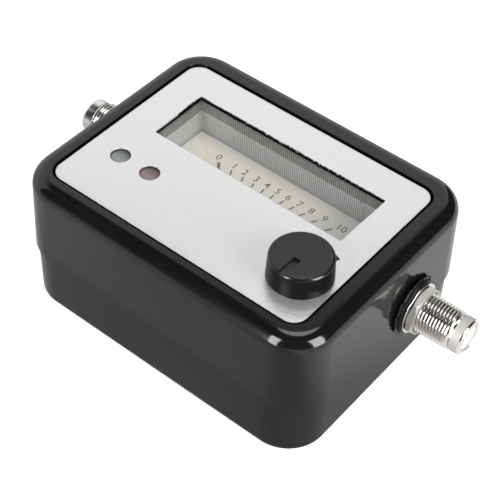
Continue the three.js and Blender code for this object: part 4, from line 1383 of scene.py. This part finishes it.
def socket(side, name):
    """One socket with its washers and nut, built along Z and then laid along X."""
    low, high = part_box(f"{name}_socket_barrel")
    middle = middle_of(f"{name}_socket_barrel")
    length = high.x - low.x
    start = low.x if side > 0 else high.x
    laid = Matrix.Translation((start, middle.y, middle.z)) @ Matrix.Rotation(side * TAU / 4, 4, "Y")

    def span(node, shift=0.0):
        """Both ends of a node along the socket's axis, moved outwards by the shift."""
        return sorted(side * (corner.x - start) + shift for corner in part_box(f"{name}_{node}"))

    def put(piece, finish, node, slot=None):
        finished(smoothed(moved(piece, laid)), finish, f"{name}_{node}", slot=slot)

    body = barrel(f"{name}_barrel", length)
    paint(body, "socket_plate", "nose_plate")
    for face in body.data.polygons:
        on_nose = face.center.z > length - NOSE_LENGTH + NOSE_MARGIN
        on_side = abs(face.normal.z) < NOSE_SIDE_LEAN
        face.material_index = 1 if side > 0 and on_nose and on_side else 0  # the right nose is worn
    put(body, "socket_plate", "socket_barrel")
    put(plug(f"{name}_plug", length), "insulator_white", "insulator")
    low, high = span("toothed_washer")
    put(toothed_washer(f"{name}_star_washer", low, high + STACK_SHIFT), "washer_black", "toothed_washer")
    low, high = span("flat_washer", STACK_SHIFT)
    radius = half_of(f"{name}_flat_washer").z
    flat = ring(f"{name}_plain_washer", WASHER_HOLE, radius, low, high, WASHER_EDGE)
    put(flat, "socket_plate", "flat_washer")
    put(nut(f"{name}_nut", *span("hex_nut", STACK_SHIFT)), "nut_plate", "hex_nut", "socket_plate")


# Nodes that keep their own shape

KEPT = {
    "scale_cream": ["scale_plate"],
    "tray_plastic": ["meter_base"],
    "magnet_steel": ["magnet_core", "yoke_ring"],
    "copper_coil": ["moving_coil"],
    "board_green": ["circuit_board"],
    "brass_plain": [
        "bearing_screw",
        "meter_terminal_1",
        "meter_terminal_2",
        "right_centre_contact",
        "left_centre_contact",
    ],
    "bright_steel": [
        "pivot_bridge",
        "led_left_lead_1",
        "led_left_lead_2",
        "led_right_lead_1",
        "led_right_lead_2",
        "pot_body",
        "pot_washer",
        "pot_nut",
        "pot_shaft",
        "board_screw_1",
        "board_screw_2",
    ],
}


def paint_kept_nodes():
    for finish, nodes in KEPT.items():
        for node in nodes:
            paint(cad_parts[node], finish)


# Studio

LIGHT_DISTANCE = 0.6
FLOOR_SIZE = 3.0
FLOOR_THICKNESS = 2 * MM
FLOOR_DROP = 0.02 * MM  # keeps it clear of the underside
FLOOR_GLOW = 0.45  # what the camera sees of it besides its lit surface
# Levels of the floor as the object mirrors it, painted dimmer in front of the object as its shade
FLOOR_FRONT = 0.4  # how bright the object mirrors the floor in front of its near corner
FLOOR_MIDDLE = 0.15  # added in front of its middle
FLOOR_LEFT = 0.2  # added more at its left
FLOOR_RIGHT = 0.6  # added at its right
FLOOR_NEAR_SHADOW = 0.24  # painted shadow: share lost close to the front wall
FLOOR_REACH = 0.675  # how far out that is, as a share of the lower shell's height
FLOOR_SLANT = 0.35  # how much the edge of the right-hand level leans
MIDDLE_FADE = (5 * MM, 45 * MM)  # from where to where along X each of these levels changes
LEFT_FADE = (-70 * MM, -10 * MM)
RIGHT_FADE = (38 * MM, 66 * MM)
NEAR_FADE = (30 * MM, 42 * MM)


def ray_kinds(graph):
    """1 for a ray from the camera, and 1 for a ray that a gloss or a clear piece sends out."""
    path = graph.node("ShaderNodeLightPath").outputs
    kinds = ("Is Camera Ray", "Is Glossy Ray", "Is Transmission Ray")
    camera, glossy, through = (Value(graph, path[kind]) for kind in kinds)
    return camera, (glossy + through).clamped()


def floor():
    """White to the eye with the object's shadow; as the object mirrors it, it is painted dimmer in front
    as shade and darker close to the front wall as shadow.
    """
    plan = Plan(0, 0, FLOOR_SIZE / 2, FLOOR_SIZE / 2, 0)
    plane = slab("floor", plan, -FLOOR_THICKNESS, -FLOOR_DROP)
    finish = Finish("floor_white")
    camera, mirrored = ray_kinds(finish)
    x, y, _ = finish.parts(finish.place)
    grain = finish.noise(40 * MM)
    diffuse = finish.shader((0.82, 0.82, 0.82), 0.8 + grain * 0.1)
    glow = finish.node("ShaderNodeEmission", {"Strength": camera * FLOOR_GLOW}).outputs[0]
    seen = finish.node("ShaderNodeAddShader", {0: diffuse, 1: glow}).outputs[0]
    right = (x + y * FLOOR_SLANT).stepped(*RIGHT_FADE)
    left = 1 - x.stepped(*LEFT_FADE)
    middle = 1 - x.stepped(*MIDDLE_FADE)
    level = (FLOOR_FRONT + middle * FLOOR_MIDDLE + left * FLOOR_LEFT + right * FLOOR_RIGHT).clamped()
    front = lower_low.y - lower_high.z * FLOOR_REACH
    # painted shadow close to the front wall, seen only in reflections
    near = y.stepped(front - MM, front) * (1 - x.stepped(*NEAR_FADE))
    level = level * (1 - near * FLOOR_NEAR_SHADOW)
    mirror = finish.node("ShaderNodeEmission", {"Strength": level}).outputs[0]
    finish.done(finish.blended(mirrored, seen, mirror))
    paint(plane, "floor_white")


def softbox(name, direction, size, radiance, roll=0, shape="RECTANGLE"):
    """A lit panel that faces the object from a turn and a height in degrees, as bright as asked."""
    turn, level = map(math.radians, direction)
    width, height = size
    flat = Vector((math.cos(turn), math.sin(turn), 0)) * math.cos(level)
    place = (flat + Vector((0, 0, math.sin(level)))) * LIGHT_DISTANCE
    light = bpy.data.lights.new(name, "AREA")
    light.shape = shape
    light.size = width
    light.size_y = height
    filled = math.pi / 4 if shape == "ELLIPSE" else 1
    light.energy = radiance * math.pi * width * height * filled
    holder = bpy.data.objects.new(name, light)
    holder.location = place
    facing = (-place).to_track_quat("-Z", "Y").to_matrix()
    holder.rotation_euler = (facing @ Matrix.Rotation(math.radians(roll), 3, "Z")).to_euler()
    bpy.context.scene.collection.objects.link(holder)


# Mirrored surroundings: a pale backdrop behind the object, a dim room and a bluish gap low down
BACKDROP_TOP = (0.66, 0.84)  # sines of the heights between which the backdrop fades
BACKDROP_SIDE = (0.32, 0.4)  # sines of the turns to the right between which it fades
BACKDROP_START = 0.05  # half the width over which it begins, level with the object
BACKDROP_LEVEL = 0.95
GAP_LEVEL = 0.4
GAP_WIDTH = (0.86, 0.93)  # cosines of the angles between which it fades at its sides
GAP_HEIGHT = (0.1, 0.3)  # sines of the heights between which it fades at its top
GAP_COLOUR = (0.45, 0.62, 1.0)
ROOM_LEVEL = 0.03
FILL_LEVEL = 0.3  # on matt surfaces
BACKDROP_TURN = math.radians(122)
GAP_TURN = math.radians(-128)


def surroundings():
    world = bpy.data.worlds.new("studio")
    bpy.context.scene.world = world
    world.use_nodes = True
    graph = Graph(world.node_tree)
    world.node_tree.nodes.clear()
    camera, mirrored = ray_kinds(graph)
    x, y, z = graph.parts(graph.node("ShaderNodeTexCoord").outputs["Generated"])
    away = x * math.cos(BACKDROP_TURN) + y * math.sin(BACKDROP_TURN)
    aside = x * math.sin(BACKDROP_TURN) - y * math.cos(BACKDROP_TURN)
    backdrop = away.stepped(-BACKDROP_START, BACKDROP_START)
    backdrop = backdrop * (1 - aside.stepped(*BACKDROP_SIDE))
    backdrop = backdrop * (1 - z.stepped(*BACKDROP_TOP))
    gap = (x * math.cos(GAP_TURN) + y * math.sin(GAP_TURN)).stepped(*GAP_WIDTH)
    gap = gap * (1 - z.stepped(*GAP_HEIGHT))
    mirror_level = ROOM_LEVEL + backdrop * BACKDROP_LEVEL + gap * GAP_LEVEL
    level = mirrored * mirror_level + (1 - mirrored) * FILL_LEVEL
    level = camera + (1 - camera) * level
    bluish = gap * mirrored * (1 - camera)
    colour = graph.mixed(bluish, (1.0, 1.0, 1.0), GAP_COLOUR)
    background = graph.node("ShaderNodeBackground", {"Color": colour, "Strength": level}).outputs[0]
    graph.node("ShaderNodeOutputWorld", {"Surface": background})


# Camera, as solved from the photograph
CAMERA_PLACE = Vector((136.289, -178.559, 251.798)) * MM
CAMERA_RIGHT = Vector((0.776454, 0.629208, 0.03487))
CAMERA_UP = Vector((-0.475627, 0.548835, 0.68743))
FOCAL_PIXELS = 1413.0
PICTURE_PIXELS = 500
SENSOR = 36.0


def photograph_camera():
    camera = bpy.data.cameras.new("camera")
    camera.sensor_width = SENSOR
    camera.lens = FOCAL_PIXELS / PICTURE_PIXELS * SENSOR
    camera.clip_start = 0.01
    holder = bpy.data.objects.new("camera", camera)
    back = CAMERA_RIGHT.cross(CAMERA_UP)
    turn = Matrix((CAMERA_RIGHT, CAMERA_UP, back)).transposed()
    holder.matrix_world = Matrix.Translation(CAMERA_PLACE) @ turn.to_4x4()
    bpy.context.scene.collection.objects.link(holder)
    bpy.context.scene.camera = holder


def studio():
    floor()
    surroundings()
    softbox("left_softbox", (-97.4, 21.5), (0.208, 0.6), radiance=11.5)
    softbox("right_softbox", (-1.5, 21.5), (0.27, 0.6), radiance=11.5)
    softbox("top_softbox", (108.4, 76.1), (0.25, 0.334), radiance=3.7, roll=11.6, shape="ELLIPSE")
    bpy.context.scene.view_settings.view_transform = "Standard"


def build():
    mix_finishes()
    photograph_camera()
    studio()
    paint_kept_nodes()
    case_top_half()
    case_bottom_half()
    for number in range(1, 5):
        cross_recess_screw(number)
    label_plate()
    lens_body()
    lens_ribs()
    scale_ticks()
    scale_numbers()
    pointer()
    lamp("left", "green")
    lamp("right", "red")
    control_knob()
    knob_sweep()
    socket(1, "right")
    socket(-1, "left")


build()
